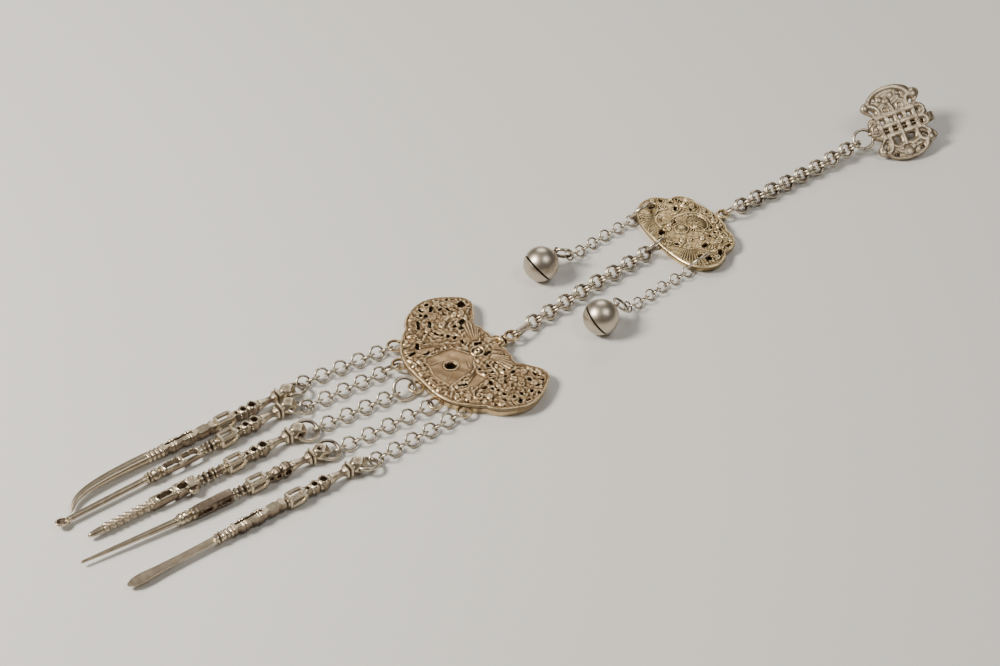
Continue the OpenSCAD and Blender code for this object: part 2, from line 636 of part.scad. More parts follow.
module serrated_file_body() {
    tool_head();
    beads([[31.6, 1, 2.0], [32.5, 1, 1.6], [33.4, 0.8, 2.0], [34, 2.2, 1.4], [36, 0.8, 2.1],
        [37.2, 0.8, 2.1], [36.5, 3, 1.5], [39.4, 0.9, 2.1], [40, 1.6, 1.4], [41.4, 0.9, 1.9], [42, 2, 1.3]]);
    // Two crossing pierced frames, one beyond the other, with a drilled boss on the first
    difference() {
        union() {
            block(43.3, 8.6, 4.6, 3.4);
            block(51.6, 9.6, 3.8, 3.2);
            translate([46.2, 2.5, 0]) cylinder(3.0, 1.9, 1.9, center = true);
        }
        block(47.2, 3.6, 3.0, 6);
        block(53.4, 5.4, 2.2, 6);
        block(44.6, 5.6, 8, 1.5);
        block(53, 6.2, 8, 1.5);
        translate([46.2, 2.6, 0]) cylinder(8, 0.6, 0.6, center = true);
    }
    // The blade, notched along both edges, and its bare round point
    difference() {
        block(60.6, 19.4, 3.1, 2.2);
        for (i = [0:8], side = [-1, 1]) translate([62.2 + i * 2, side * 1.75, 0]) rotate([0, 0, side * 35])
            cube([0.8, 1.2, 4], center = true);
        for (i = [0:8]) translate([62.8 + i * 2, 0, 1.25]) rotate([0, 0, 55])
            cube([4.4, 0.5, 0.7], center = true);
    }
    disc(79.6, 1, 1.2);
    translate([80.4, 0, 0]) rotate([0, 90, 0]) cylinder(4.4, 1.3, 0.9);
    translate([84.8, 0, 0]) sphere(0.9);
}

module needle_pick_body() {
    rotate([90, 0, 0]) {
        tool_head();
        beads([[31.6, 1.2, 1.9], [32.6, 1.4, 1.4], [34, 0.8, 1.9], [34.7, 1.4, 1.3], [36, 0.9, 1.8],
            [36.6, 2, 1.3]]);
        slotted_frame(38, 15.4, 3.6, 3.6);
    }
    translate([55.6, 0, 0]) sphere(2.05);
    beads([[53, 0.9, 2.1], [57, 1, 2.0], [57.9, 0.9, 1.8], [58.7, 1.1, 1.5]]);
    for (a = [0:60:300]) translate([55.6, 1.6 * cos(a), 1.6 * sin(a)]) sphere(0.6);
    translate([59.4, 0, 0]) rotate([0, 0, -2.8]) {
        rotate([0, 90, 0]) cylinder(34.4, 1.25, 0.55);
        translate([34.4, 0, 0]) sphere(0.55);
    }
}

module spear_spatula_body() {
    tool_head();
    beads([[31.6, 1, 1.9], [32.4, 0.8, 1.5]]);
    translate([0.8, 0, 0]) arched_block(32);
    for (i = [0:2]) block(53.6 + i * 1.5, 0.9, 3.3, 2.8);
    block(53, 5, 2.9, 2.4);
    beads([[57.9, 0.8, 2.0], [59.2, 0.8, 1.8], [58, 3, 1.4]]);
    // The flat bar widens to a leaf with a blunt point
    translate([60.4, 0, 0]) linear_extrude(1.0, center = true)
        polygon([[0, -1.5], [12, -1.45], [22, -1.75], [27.5, -2.2], [31, -1.9], [33.6, -0.6], [33.6, 0.6],
            [31, 1.9], [27.5, 2.2], [22, 1.75], [12, 1.45], [0, 1.5]]);
}

// A tool in its place, with room cut for its ring
module tool(k) {
    color(silver) difference() {
        place_tool(k) children();
        ring(tool_ring_row(k), 0.22);
    }
}

// The paths of the tool chains: from the tool's ring to the plaque's eye or to the ring before it
function large_world(p) =
    [large_at.x + p.x * cos(large_turn) - p.y * sin(large_turn),
        large_at.y + p.x * sin(large_turn) + p.y * cos(large_turn), eye_z];
function toward(a, b, d) = a + (b - a) * d / norm(b - a);
function flat(p, z) = [p.x, p.y, z];
// Where each tool chain's first link lies, what its last link holds, and how far off that is
tool_ends = [
    [[-71.0, 23.1], large_world(lower_eyes[0]), 3.6], [[-77.3, 12.7], plaque_ring_2_row[0], 4.7],
    [[-80.3, 2.0], plaque_ring_3_row[0], 4.6], [[-81.2, -10.8], large_world(lower_eyes[3]), 3.6],
    [[-74.6, -23.1], large_world(lower_eyes[4]), 3.6]];
function tool_path(k) =
    let (a = flat(tool_ends[k][0], 2.1), b = flat(tool_ends[k][1], eye_z - 0.1))
    [a, toward(b, a, tool_ends[k][2])];
tool_links = [10, 9, 9, 10, 10];
tool_rolls = [45, 45, -45, -45, 45];

module tool_chain(k) {
    color(bright) chain(tool_path(k), tool_links[k], single_r, single_wire, tool_rolls[k]);
}

module lie() {
    translate(-middle) children();
}

lie() clip_plate();
lie() color(bright) ring(clip_ring_row);  // clip_ring
lie() color(bright) chain(upper_path, 16, double_r, double_wire, roll, pair_half);  // upper_chain
lie() color(bright) ring(upper_jump_row);  // upper_jump_ring
lie() mid_plaque();
lie() color(bright) ring(bell_ring_far_row);  // bell_ring_far
lie() color(bright) ring(bell_ring_near_row);  // bell_ring_near
lie() color(bright) chain(bell_far_path, 11, fine_r, fine_wire, roll);  // bell_chain_far
lie() color(bright) chain(bell_near_path, 11, fine_r, fine_wire, roll);  // bell_chain_near
lie() color(bright) ring(bell_loop_far_row);  // bell_loop_far
lie() color(bright) ring(bell_loop_near_row);  // bell_loop_near
lie() color(bright) bell(bell_far_at, bell_far_axis, 164, bell_far_slit);  // bell_far
lie() color(bright) bell(bell_near_at, bell_near_axis, 196, bell_near_slit);  // bell_near
lie() color(bright) ring(mid_lower_row);  // mid_lower_ring
lie() color(bright) chain(lower_path, 15, double_r, double_wire, -roll, pair_half);  // lower_chain
lie() color(bright) translate([5.07, -5.91, 2.83]) rotate([-48, 8, 9]) oblong();  // oblong_link
lie() large_plaque();
lie() color(bright) ring(plaque_ring_2_row);  // plaque_ring_2
lie() color(bright) ring(plaque_ring_3_row);  // plaque_ring_3
lie() tool_chain(0);  // tool_chain_1
lie() tool_chain(1);  // tool_chain_2
lie() tool_chain(2);  // tool_chain_3
lie() tool_chain(3);  // tool_chain_4
lie() tool_chain(4);  // tool_chain_5
lie() color(bright) ring(tool_ring_row(0));  // tool_ring_1
lie() color(bright) ring(tool_ring_row(1));  // tool_ring_2
lie() color(bright) ring(tool_ring_row(2));  // tool_ring_3
lie() color(bright) ring(tool_ring_row(3));  // tool_ring_4
lie() color(bright) ring(tool_ring_row(4));  // tool_ring_5
lie() tool(0) curved_pick_body();  // curved_pick
lie() tool(1) ear_spoon_body();  // ear_spoon
lie() tool(2) serrated_file_body();  // serrated_file
lie() tool(3) needle_pick_body();  // needle_pick
lie() tool(4) spear_spatula_body();  // spear_spatula
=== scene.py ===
"""A pierced silver chatelaine: clip, two plaques, two bells and five grooming tools on chains.

Lengths are in millimetres until a piece is made. +X runs towards the clip, +Z is up, and the object
lies on the table at z = 0. Each piece stands for the CAD node of the same name.
"""

import functools
import math

import bpy
import numpy as np
from mathutils import Matrix, Vector

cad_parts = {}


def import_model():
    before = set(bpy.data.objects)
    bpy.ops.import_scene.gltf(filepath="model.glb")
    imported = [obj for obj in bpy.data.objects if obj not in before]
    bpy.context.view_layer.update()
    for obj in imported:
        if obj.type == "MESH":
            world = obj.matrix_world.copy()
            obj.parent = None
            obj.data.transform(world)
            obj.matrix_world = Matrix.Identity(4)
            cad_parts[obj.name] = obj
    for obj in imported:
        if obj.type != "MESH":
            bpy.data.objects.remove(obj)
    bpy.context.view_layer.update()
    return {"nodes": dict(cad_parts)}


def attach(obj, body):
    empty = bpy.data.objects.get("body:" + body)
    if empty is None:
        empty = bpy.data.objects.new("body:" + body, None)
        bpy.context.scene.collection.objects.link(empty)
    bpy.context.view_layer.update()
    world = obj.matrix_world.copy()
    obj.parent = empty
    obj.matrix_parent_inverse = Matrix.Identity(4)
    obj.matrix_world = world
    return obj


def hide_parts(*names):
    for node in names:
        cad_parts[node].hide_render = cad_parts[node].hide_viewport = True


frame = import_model()

MM = 0.001
SEED = 7
X_AXIS, Y_AXIS, Z_AXIS = np.eye(3)
# A crease sharper than this stays a hard edge
SHARP_ANGLE = math.radians(42)
# Half the size of a bar's first and last section, so small that it closes to a point
TIP = 1e-5

# Where the part's own pieces lie, as in its source: place, and turns about X, Y and Z in that order
MIDDLE = np.array([13.34, -4.09, 0.0])
CLIP_AT, CLIP_TURN = (188.6, -15.0, 9.16), (33.0, -5.0, -16.7)
MID_AT, MID_TURN = (87.0, -4.0, 0.0), (0.0, 0.0, -6.0)
LARGE_AT, LARGE_TURN = (-23.0, -5.0, 0.0), (0.0, 0.0, -3.5)
TOOL_HEAD_Z, TOOL_SLOPE = 3.15, 0.6
# Each tool: place of the knob's outer end, and its slant away from the chains' line
TOOL_PLACES = {
    "curved_pick": (-76.1, 22.0, 5.5),
    "ear_spoon": (-79.8, 16.3, 3.0),
    "serrated_file": (-84.8, 4.2, 4.1),
    "needle_pick": (-84.8, -9.2, 5.8),
    "spear_spatula": (-78.8, -22.0, 3.5),
}


# Meshes

def placed(points, at, turn):
    """Turns points about X, then Y, then Z, moves them to their place, and centres the object."""
    a, b, c = np.radians(turn)
    about_x = np.array([[1, 0, 0], [0, math.cos(a), -math.sin(a)], [0, math.sin(a), math.cos(a)]])
    about_y = np.array([[math.cos(b), 0, math.sin(b)], [0, 1, 0], [-math.sin(b), 0, math.cos(b)]])
    about_z = np.array([[math.cos(c), -math.sin(c), 0], [math.sin(c), math.cos(c), 0], [0, 0, 1]])
    return points @ (about_z @ about_y @ about_x).T + np.array(at) - MIDDLE


def clean_faces(points, quads, triangles):
    """Merges points that coincide, at seams and poles; a quad that lost a corner becomes a triangle."""
    _, first, index = np.unique(np.round(points, 4), axis=0, return_index=True, return_inverse=True)
    index = index.ravel()
    quads, triangles = index[quads], [index[triangles]]
    whole = np.ones(len(quads), bool)
    for k in range(4):
        same = quads[:, k] == quads[:, (k + 1) % 4]
        triangles.append(quads[same & whole][:, [(k + 1) % 4, (k + 2) % 4, (k + 3) % 4]])
        whole &= ~same
    triangles = np.concatenate(triangles)
    flat = (triangles[:, 0] == triangles[:, 1]) | (triangles[:, 1] == triangles[:, 2])
    flat |= triangles[:, 0] == triangles[:, 2]
    return first, quads[whole], triangles[~flat]


def cells(index):
    """The four corners of every cell of a grid of point numbers."""
    return np.stack([index[:-1, :-1], index[1:, :-1], index[1:, 1:], index[:-1, 1:]], -1).reshape(-1, 4)


def surface(grid, relief, closed=False):
    """A shell from a grid of points [row, column, xyz], joined round each row, and rows too if closed."""
    rows, columns = grid.shape[:2]
    index = np.arange(rows * columns).reshape(rows, columns)
    index = np.hstack([index, index[:, :1]])
    if closed:
        index = np.vstack([index, index[:1]])
    points = grid.reshape(-1, 3)
    first, quads, triangles = clean_faces(points, cells(index), np.zeros((0, 3), int))
    return points[first], quads, triangles, np.broadcast_to(relief, (rows, columns)).ravel()[first]


def volume(shell):
    """Signed volume inside a shell: the sum over its triangles of corner . (corner x corner) / 6."""
    points, quads, triangles, _ = shell
    all_triangles = np.concatenate([quads[:, [0, 1, 2]], quads[:, [0, 2, 3]], triangles])
    a, b, c = (points[all_triangles[:, k]] for k in range(3))
    return np.einsum("ij,ij->", a, np.cross(b, c)) / 6


def outward(shell):
    """The shell with its faces pointing out of its volume."""
    if volume(shell) >= 0:
        return shell
    points, quads, triangles, relief = shell
    return points, quads[:, ::-1], triangles[:, ::-1], relief


def moved(shell, at, turn):
    """A shell in its place."""
    return (placed(shell[0], at, turn),) + shell[1:]


def make_piece(name, shells, material):
    """One smooth piece from closed shells. It rides on the root and replaces the node it is named for."""
    shells = [outward(s) for s in shells]
    offsets = np.cumsum([0] + [len(s[0]) for s in shells])
    points = np.concatenate([s[0] for s in shells]) * MM
    quads = np.concatenate([s[1] + o for s, o in zip(shells, offsets)])
    triangles = np.concatenate([s[2] + o for s, o in zip(shells, offsets)])
    corners = np.concatenate([quads.ravel(), triangles.ravel()]).astype(np.int32)
    starts = np.concatenate([np.arange(len(quads)) * 4, len(quads) * 4 + np.arange(len(triangles)) * 3])
    mesh = bpy.data.meshes.new(name + "_silver")
    mesh.vertices.add(len(points))
    mesh.vertices.foreach_set("co", points.ravel())
    mesh.loops.add(len(corners))
    mesh.loops.foreach_set("vertex_index", corners)
    mesh.polygons.add(len(starts))
    mesh.polygons.foreach_set("loop_start", starts.astype(np.int32))
    mesh.update(calc_edges=True)
    mesh.validate()
    mesh.polygons.foreach_set("use_smooth", np.ones(len(mesh.polygons), bool))
    mesh.set_sharp_from_angle(angle=SHARP_ANGLE)
    attribute = mesh.attributes.new("relief", "FLOAT", "POINT")
    attribute.data.foreach_set("value", np.concatenate([s[3] for s in shells]))
    mesh.materials.append(material)
    piece = bpy.data.objects.new(name + "_silver", mesh)
    bpy.context.scene.collection.objects.link(piece)
    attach(piece, "root")
    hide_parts(name)
    return piece


# Forms

def spline(before, start, end, after, t):
    """Catmull-Rom curve: the cubic in t from start to end whose slopes follow the points beyond them."""
    square = 2 * before - 5 * start + 4 * end - after
    cube = 3 * start - before - 3 * end + after
    return 0.5 * (2 * start + (end - before) * t + square * t**2 + cube * t**3)


def smooth_outline(corners, steps=5):
    """A closed smooth curve through the corners."""
    p = np.array(corners, float)
    t = (np.arange(steps) / steps)[None, :, None]
    curve = spline(*(np.roll(p, shift, 0)[:, None, :] for shift in (1, 0, -1, -2)), t)
    return curve.reshape(-1, p.shape[1])


def mirrored(half):
    """A half outline and its mirror image across the X axis, as one closed outline."""
    half = np.array(half, float)
    back = half[::-1]
    back = back[back[:, 1] > 0.01] * [1, -1]
    return np.concatenate([half, back])


def line_distance(x, y, line):
    """Distance from each grid point to a polyline, the least over its segments."""
    best = np.full(x.shape, 1e9)
    for (x1, y1), (x2, y2) in zip(line[:-1], line[1:]):
        dx, dy = x2 - x1, y2 - y1
        t = np.clip(((x - x1) * dx + (y - y1) * dy) / max(dx * dx + dy * dy, 1e-9), 0, 1)
        best = np.minimum(best, np.hypot(x - x1 - t * dx, y - y1 - t * dy))
    return best


def outline_distance(x, y, outline):
    """Signed distance to a closed outline, below zero inside: line distance, signed by crossings."""
    closed = np.concatenate([outline, outline[:1]])
    inside = np.zeros(x.shape, bool)
    for (x1, y1), (x2, y2) in zip(closed[:-1], closed[1:]):
        if y1 != y2:
            inside ^= ((y1 > y) != (y2 > y)) & (x < (x2 - x1) * (y - y1) / (y2 - y1) + x1)
    return np.where(inside, -1, 1) * line_distance(x, y, closed)


def slot_distance(x, y, row):
    """Signed distance to a hole with round ends: place along and across, length, width and angle."""
    a = math.radians(row[4])
    u = (x - row[0]) * math.cos(a) + (y - row[1]) * math.sin(a)
    v = (y - row[1]) * math.cos(a) - (x - row[0]) * math.sin(a)
    straight = max(row[2] - row[3], 0) / 2
    return np.hypot(np.maximum(np.abs(u) - straight, 0), v) - row[3] / 2


def pierced(x, y, inside, step, place):
    """A sheet on a grid with its openings cut out, closed by walls between its top and its bottom.

    inside is a signed distance, below zero in the metal. Grid points near its zero line slide onto it
    along its gradient, the cells whose corners all lie in the metal are kept, and a cell with three
    such corners gives a triangle. place gives top points, bottom points and relief from the grid.
    """
    grad_x, grad_y = np.gradient(inside, step)
    length = np.maximum(np.hypot(grad_x, grad_y), 0.3)
    near = np.abs(inside) < 0.6 * step
    slide = np.where(near, inside / length**2, 0)
    x, y = x - slide * grad_x, y - slide * grad_y
    keep = (near | (inside < 0)).ravel()
    index = np.arange(x.size).reshape(x.shape)
    cell = cells(index)
    flags = keep[cell]
    triangles = [cell[(flags.sum(1) == 3) & ~flags[:, k]][:, [(k + 1) % 4, (k + 2) % 4, (k + 3) % 4]]
                 for k in range(4)]
    top, bottom, relief = (np.asarray(v).reshape(x.size, -1) for v in place(x, y))
    first, quads, triangles = clean_faces(top, cell[flags.all(1)], np.concatenate(triangles))
    top, bottom, relief = top[first], bottom[first], relief[first, 0]
    # A wall quad under every edge that has one face
    edges = np.concatenate([quads[:, [0, 1]], quads[:, [1, 2]], quads[:, [2, 3]], quads[:, [3, 0]],
                            triangles[:, [0, 1]], triangles[:, [1, 2]], triangles[:, [2, 0]]])
    count = len(top)
    rim = edges[~np.isin(edges[:, 0] * count + edges[:, 1], edges[:, 1] * count + edges[:, 0])]
    walls = np.stack([rim[:, 0], rim[:, 0] + count, rim[:, 1] + count, rim[:, 1]], -1)
    quads = np.concatenate([quads, quads[:, ::-1] + count, walls])
    triangles = np.concatenate([triangles, triangles[:, ::-1] + count])
    used = np.unique(np.concatenate([quads.ravel(), triangles.ravel()]))
    renumber = np.zeros(2 * count, int)
    renumber[used] = np.arange(len(used))
    points = np.concatenate([top, bottom])[used]
    # The bottom takes a low relief, so the underside and the lower part of every wall are painted darker,
    # as shade under the sheet and down its openings
    return points, renumber[quads], renumber[triangles], np.concatenate([relief, relief * 0 + 0.25])[used]


def sheet(x, y, inside, step, top, bottom, relief):
    """A level pierced sheet from heights given on its own grid."""
    def place(px, py):
        return (np.stack([px, py, top], -1), np.stack([px, py, np.broadcast_to(bottom, top.shape)], -1),
                np.clip(relief, 0, 1))
    return pierced(x, y, inside, step, place)


def swept_outline(outline, section, height, foot):
    """A section carried round a closed outline: rows of how far in from the edge, and how high.

    The outline draws in towards its foot in proportion to how far below the height a row is.
    """
    ahead = np.roll(outline, -1, 0) - np.roll(outline, 1, 0)
    inward = np.stack([-ahead[:, 1], ahead[:, 0]], -1) / np.linalg.norm(ahead, axis=1)[:, None]
    area = np.sum(outline[:, 0] * np.roll(outline[:, 1], -1) - outline[:, 1] * np.roll(outline[:, 0], -1))
    inward *= np.sign(area)
    rows = []
    for inset, z in section:
        shrink = 1 - (1 - foot) * np.clip((height - z) / height, 0, 1)
        rows.append(np.column_stack([outline * shrink + inward * inset, np.full(len(outline), z)]))
    return surface(np.array(rows), 0.75, closed=True)


def swept(path, across, up, half_w, half_h, power=2.0, around=20, closed=False, relief=0.7):
    """A superellipse carried along a path; across and up are unit vectors, its half sizes may vary."""
    angle = np.linspace(0, 2 * np.pi, around, endpoint=False)
    power, half_w, half_h = (np.broadcast_to(np.asarray(v, float), (len(path),))[:, None]
                             for v in (power, half_w, half_h))
    side, rise = (np.sign(wave) * np.abs(wave) ** (2 / power) for wave in (np.cos(angle), np.sin(angle)))
    side, rise = (side * half_w)[..., None], (rise * half_h)[..., None]
    grid = path[:, None] + side * across[:, None] + rise * up[:, None]
    return surface(grid, relief, closed)


# Where a link's wire meets: the depth of its nick and the swelling beside it as shares of the wire,
# and how far round the bend each reaches, in radians; then the dirt in the nick and its reach
NICK, NICK_REACH = 0.16, 0.09
SWELL, SWELL_REACH = 0.05, 0.3
DIRT, DIRT_REACH = 0.4, 0.1


def wire_link(centre, along, normal, straight, bend, wire, joint=0.0, steps=44, around=12):
    """Round wire bent to a ring, or to an oblong with straight sides, with the nick of its joint."""
    across = np.cross(normal, along)
    angle = np.linspace(0, 2 * np.pi, steps, endpoint=False)
    ring = np.cos(angle)[:, None] * along + np.sin(angle)[:, None] * across
    # The straight sides shift the two bends apart; a steep tanh joins them
    path = centre + ring * bend + np.tanh(np.cos(angle) * 6)[:, None] * along * straight / 2
    gap = np.angle(np.exp(1j * (angle - joint)))
    nick, swell, dirt = (np.exp(-(gap / reach) ** 2) for reach in (NICK_REACH, SWELL_REACH, DIRT_REACH))
    thick = wire * (1 - NICK * nick + SWELL * swell)
    turn = np.linspace(0, 2 * np.pi, around, endpoint=False)
    # Lighter on the outside of the bend; darker on its inside, tarnish and painted shade where links lie
    # in each other; darker still with dirt in the joint
    relief = 0.62 + 0.3 * np.cos(turn) - DIRT * dirt[:, None]
    return swept(path, ring, np.broadcast_to(normal, ring.shape), thick, thick, around=around,
                 closed=True, relief=relief)


def flat_ring(centre, radius, wire, **detail):
    """A ring of round wire that lies level."""
    return wire_link(np.array(centre, float), X_AXIS, Z_AXIS, 0, radius, wire, **detail)


def loose_links(name):
    """Every loose link in a CAD node, as centre, long direction, normal, straight length, bend, wire.

    The node's points are merged, each piece takes the lowest number among the points it joins, and a
    link's spread gives its directions: least along its normal, most along its straight sides.
    """
    mesh = frame["nodes"][name].data
    points = np.zeros(len(mesh.vertices) * 3)
    mesh.vertices.foreach_get("co", points)
    mesh.calc_loop_triangles()
    corners = np.zeros(len(mesh.loop_triangles) * 3, int)
    mesh.loop_triangles.foreach_get("vertices", corners)
    points, index = np.unique(np.round(points.reshape(-1, 3) / MM, 3), axis=0, return_inverse=True)
    corners = index.ravel()[corners].reshape(-1, 3)
    label = np.arange(len(points))
    while True:
        lowest = label[corners].min(1)
        new = label.copy()
        for k in range(3):
            np.minimum.at(new, corners[:, k], lowest)
        new = new[new]
        if (new == label).all():
            break
        label = new
    links = []
    for one in np.unique(label):
        p = points[label == one]
        centre = (p.min(0) + p.max(0)) / 2
        directions = np.linalg.eigh(np.cov((p - centre).T))[1].T
        normal, along = directions[0], directions[2]
        wire = np.ptp(p @ normal) / 2
        long_half, bend = np.ptp(p @ along) / 2 - wire, np.ptp(p @ directions[1]) / 2 - wire
        straight = max(long_half - bend, 0) * 2
        straight = straight if straight > 1 else 0.0
        links.append((centre, along, normal, straight, min(bend, long_half), wire))
    return links


# Cast relief

def highest(*heights):
    """The greatest of several heights at each point."""
    return functools.reduce(np.maximum, heights)


def bump(distance, half_width, height, power=2):
    """A ridge, even about zero: height times the root of one less a power of distance by half width.

    The power is 2 for a round top and 4 for a flat one with rounded edges.
    """
    return height * np.sqrt(np.clip(1 - (distance / half_width) ** power, 0, 1))


def spiral(x0, y0, radius, start, turns, inner=0.25, points=16):
    """A curl that winds in from its radius to an inner share of it."""
    t = np.linspace(0, 1, points)
    angle = math.radians(start) + t * turns * 2 * np.pi
    r = radius * (1 - (1 - inner) * t)
    return np.column_stack([x0 + r * np.cos(angle), y0 + r * np.sin(angle)])


def curls(x, y, rows, width, height):
    """The highest of several curls, each with a bead at its heart: place, radius and start angle."""
    out = np.zeros(x.shape)
    for x0, y0, radius, start in rows:
        line = spiral(x0, y0, radius, abs(start), 1.35 if start >= 0 else -1.35)
        bead = bump(np.hypot(x - x0, y - y0), 0.42 * radius, height * 0.9)
        out = highest(out, bump(line_distance(x, y, line), width, height), bead)
    return out


def leaves(x, y, rows):
    """Pointed leaves with a sunk vein: place, half length, half width, angle and height."""
    out = np.zeros(x.shape)
    for x0, y0, a, b, angle, height in rows:
        c, s = math.cos(angle), math.sin(angle)
        u, v = ((x - x0) * c + (y - y0) * s) / a, ((y - y0) * c - (x - x0) * s) / b
        body = np.clip(1 - u**2 - v**2 * np.exp(0.7 * u), 0, 1)
        out = np.maximum(out, height * np.sqrt(body) * (1 - 0.22 * np.exp(-(v / 0.22) ** 2)))
    return out


# How much the lattice is shaken, as a share of its step, and the leaves are turned, in radians
SHAKE, TURN_SHAKE = 0.22, 0.35


def foliage(x, y, step, room, swirl, seed, half, height):
    """Leaves on a shaken triangular lattice over the room where room(x, y) is below zero.

    Each one lies along the swirl's direction there, turned a little at random.
    """
    rng = np.random.default_rng(seed)
    rows = np.arange(x.min(), x.max(), step * 0.87)
    gx, gy = np.meshgrid(rows, np.arange(y.min(), y.max(), step), indexing="ij")
    gy = gy + (np.arange(len(rows)) % 2)[:, None] * step / 2
    gx, gy = (g + rng.uniform(-SHAKE, SHAKE, g.shape) * step for g in (gx, gy))
    ok = room(gx, gy) < 0
    gx, gy = gx[ok], gy[ok]
    angle = swirl(gx, gy) + rng.uniform(-TURN_SHAKE, TURN_SHAKE, gx.shape)
    size = rng.uniform(0.85, 1.2, gx.shape) * half
    rise = rng.uniform(0.6, 1.1, gx.shape) * height
    return leaves(x, y, zip(gx, gy, size, size * rng.uniform(0.36, 0.56, gx.shape), angle, rise))


def flower(x, y, x0, y0, radius, petals, height=0.7):
    """Petals round a bead: one bump whose radius swells and shrinks with the angle."""
    r, a = np.hypot(x - x0, y - y0), np.arctan2(y - y0, x - x0)
    reach = radius * (0.8 + 0.2 * np.cos(petals * a))
    body = bump(r, reach, height * 0.8, 4) * (0.7 + 0.3 * np.abs(np.cos(petals * a / 2)))
    body = np.where(r < radius * 0.42, height * 0.35, body)
    return np.maximum(body, bump(r, radius * 0.32, height))


def fan(x, y, x0, y0, near, far, first, last, ribs, height):
    """Ribs spread round a point like a shell: a sine of the angle between two radii."""
    r = np.hypot(x - x0, y - y0)
    middle = (first + last) / 2
    a = (np.degrees(np.arctan2(y - y0, x - x0)) - middle + 180) % 360 - 180
    share = a / (last - first) + 0.5
    ends = np.clip((r - near) / 0.5, 0, 1) * np.clip((far - r) / 0.5, 0, 1)
    body = height * np.sqrt(np.abs(np.sin(share * ribs * np.pi))) * ends
    return np.where((share > 0) & (share < 1), body * np.clip((0.5 - np.abs(share - 0.5)) * 9, 0.3, 1), 0)


def softened(height, cells=1):
    """The mean over a square that reaches some cells each way, by running sums."""
    span = 2 * cells + 1
    for axis in (0, 1):
        width = [(cells + 1, cells) if k == axis else (0, 0) for k in (0, 1)]
        total = np.cumsum(np.pad(height, width, "edge"), axis)
        after, before = np.split(total, [span], axis)[1], np.split(total, [-span], axis)[0]
        height = (after - before) / span
    return height


def shade(height, cells, gain):
    """How worn a point is, with painted shade in its hollows: about half, more above its surroundings
    within some cells, less below.
    """
    return np.clip(0.55 + gain * (height - softened(height, cells)), 0, 1)


def ribbons(x, y, rows):
    """The highest of several rounded ribbons: corner points, half width and height."""
    out = np.zeros(x.shape)
    t = (np.arange(6) / 6)[None, :, None]
    for corners, half_width, height in rows:
        p = np.array(corners, float)
        p = np.vstack([2 * p[0] - p[1], p, 2 * p[-1] - p[-2]])
        line = spline(*(p[k:len(p) - 3 + k, None] for k in range(4)), t)
        line = np.vstack([line.reshape(-1, 2), p[-2]])
        out = np.maximum(out, bump(line_distance(x, y, line), half_width, height))
    return out


def edge_round(inside, radius):
    """How far a rounded edge drops near an opening: a quarter circle down to the zero line."""
    t = np.clip(1 + inside / radius, 0, 1)
    return radius * (1 - np.sqrt(np.clip(1 - t**2, 0, 1)))


def grid_over(outline, step):
    """Grid points over an outline's box, a little wider."""
    margin = 0.6
    (x0, y0), (x1, y1) = outline.min(0) - margin, outline.max(0) + margin
    return np.meshgrid(np.arange(x0, x1, step), np.arange(y0, y1, step), indexing="ij")


def ball_angles(rows, columns):
    """Two grids of angles over a ball: up from pole to pole, and once round."""
    return np.meshgrid(np.linspace(-np.pi / 2, np.pi / 2, rows),
                       np.linspace(0, 2 * np.pi, columns, endpoint=False), indexing="ij")


def hole_field(x, y, holes, waver=0.1):
    """Distance to the nearest of the holes, their edges made a little uneven by slow waves."""
    wx = x + waver * np.sin(3.1 * y + 1.3 * x)
    wy = y + waver * np.sin(2.7 * x - 1.1 * y)
    best = np.full(x.shape, 1e3)
    for row in holes:
        best = np.minimum(best, slot_distance(wx, wy, row))
    return best


# Finishes

def linear(code):
    """An sRGB hex colour as linear light."""
    c = np.array([int(code[k:k + 2], 16) for k in (1, 3, 5)]) / 255
    return tuple(np.where(c <= 0.04045, c / 12.92, ((c + 0.055) / 1.055) ** 2.4)) + (1.0,)


def add(tree, kind, settings=(), links=()):
    """Adds a shader node, sets its properties and plain inputs, and joins inputs to other outputs."""
    node = tree.nodes.new("ShaderNode" + kind)
    for key, value in dict(settings).items():
        if isinstance(key, str) and hasattr(node, key):
            setattr(node, key, value)
        else:
            node.inputs[key].default_value = value
    for key, (source, output) in dict(links).items():
        tree.links.new(source.outputs[output], node.inputs[key])
    return node


def noise(tree, place, size_mm, detail, roughness):
    """Noise over the object's own coordinates, with features of a size in millimetres."""
    settings = {"Scale": 1 / (size_mm * MM), "Detail": detail, "Roughness": roughness}
    return add(tree, "TexNoise", settings, {"Vector": (place, "Object")})


def ramp(tree, source, low, high, first=0.0, last=1.0, kind="SMOOTHSTEP"):
    """Goes from first to last while the source goes from low to high."""
    settings = {"interpolation_type": kind, "From Min": low, "From Max": high,
                "To Min": first, "To Max": last}
    return add(tree, "MapRange", settings, {"Value": (source, "Value")})


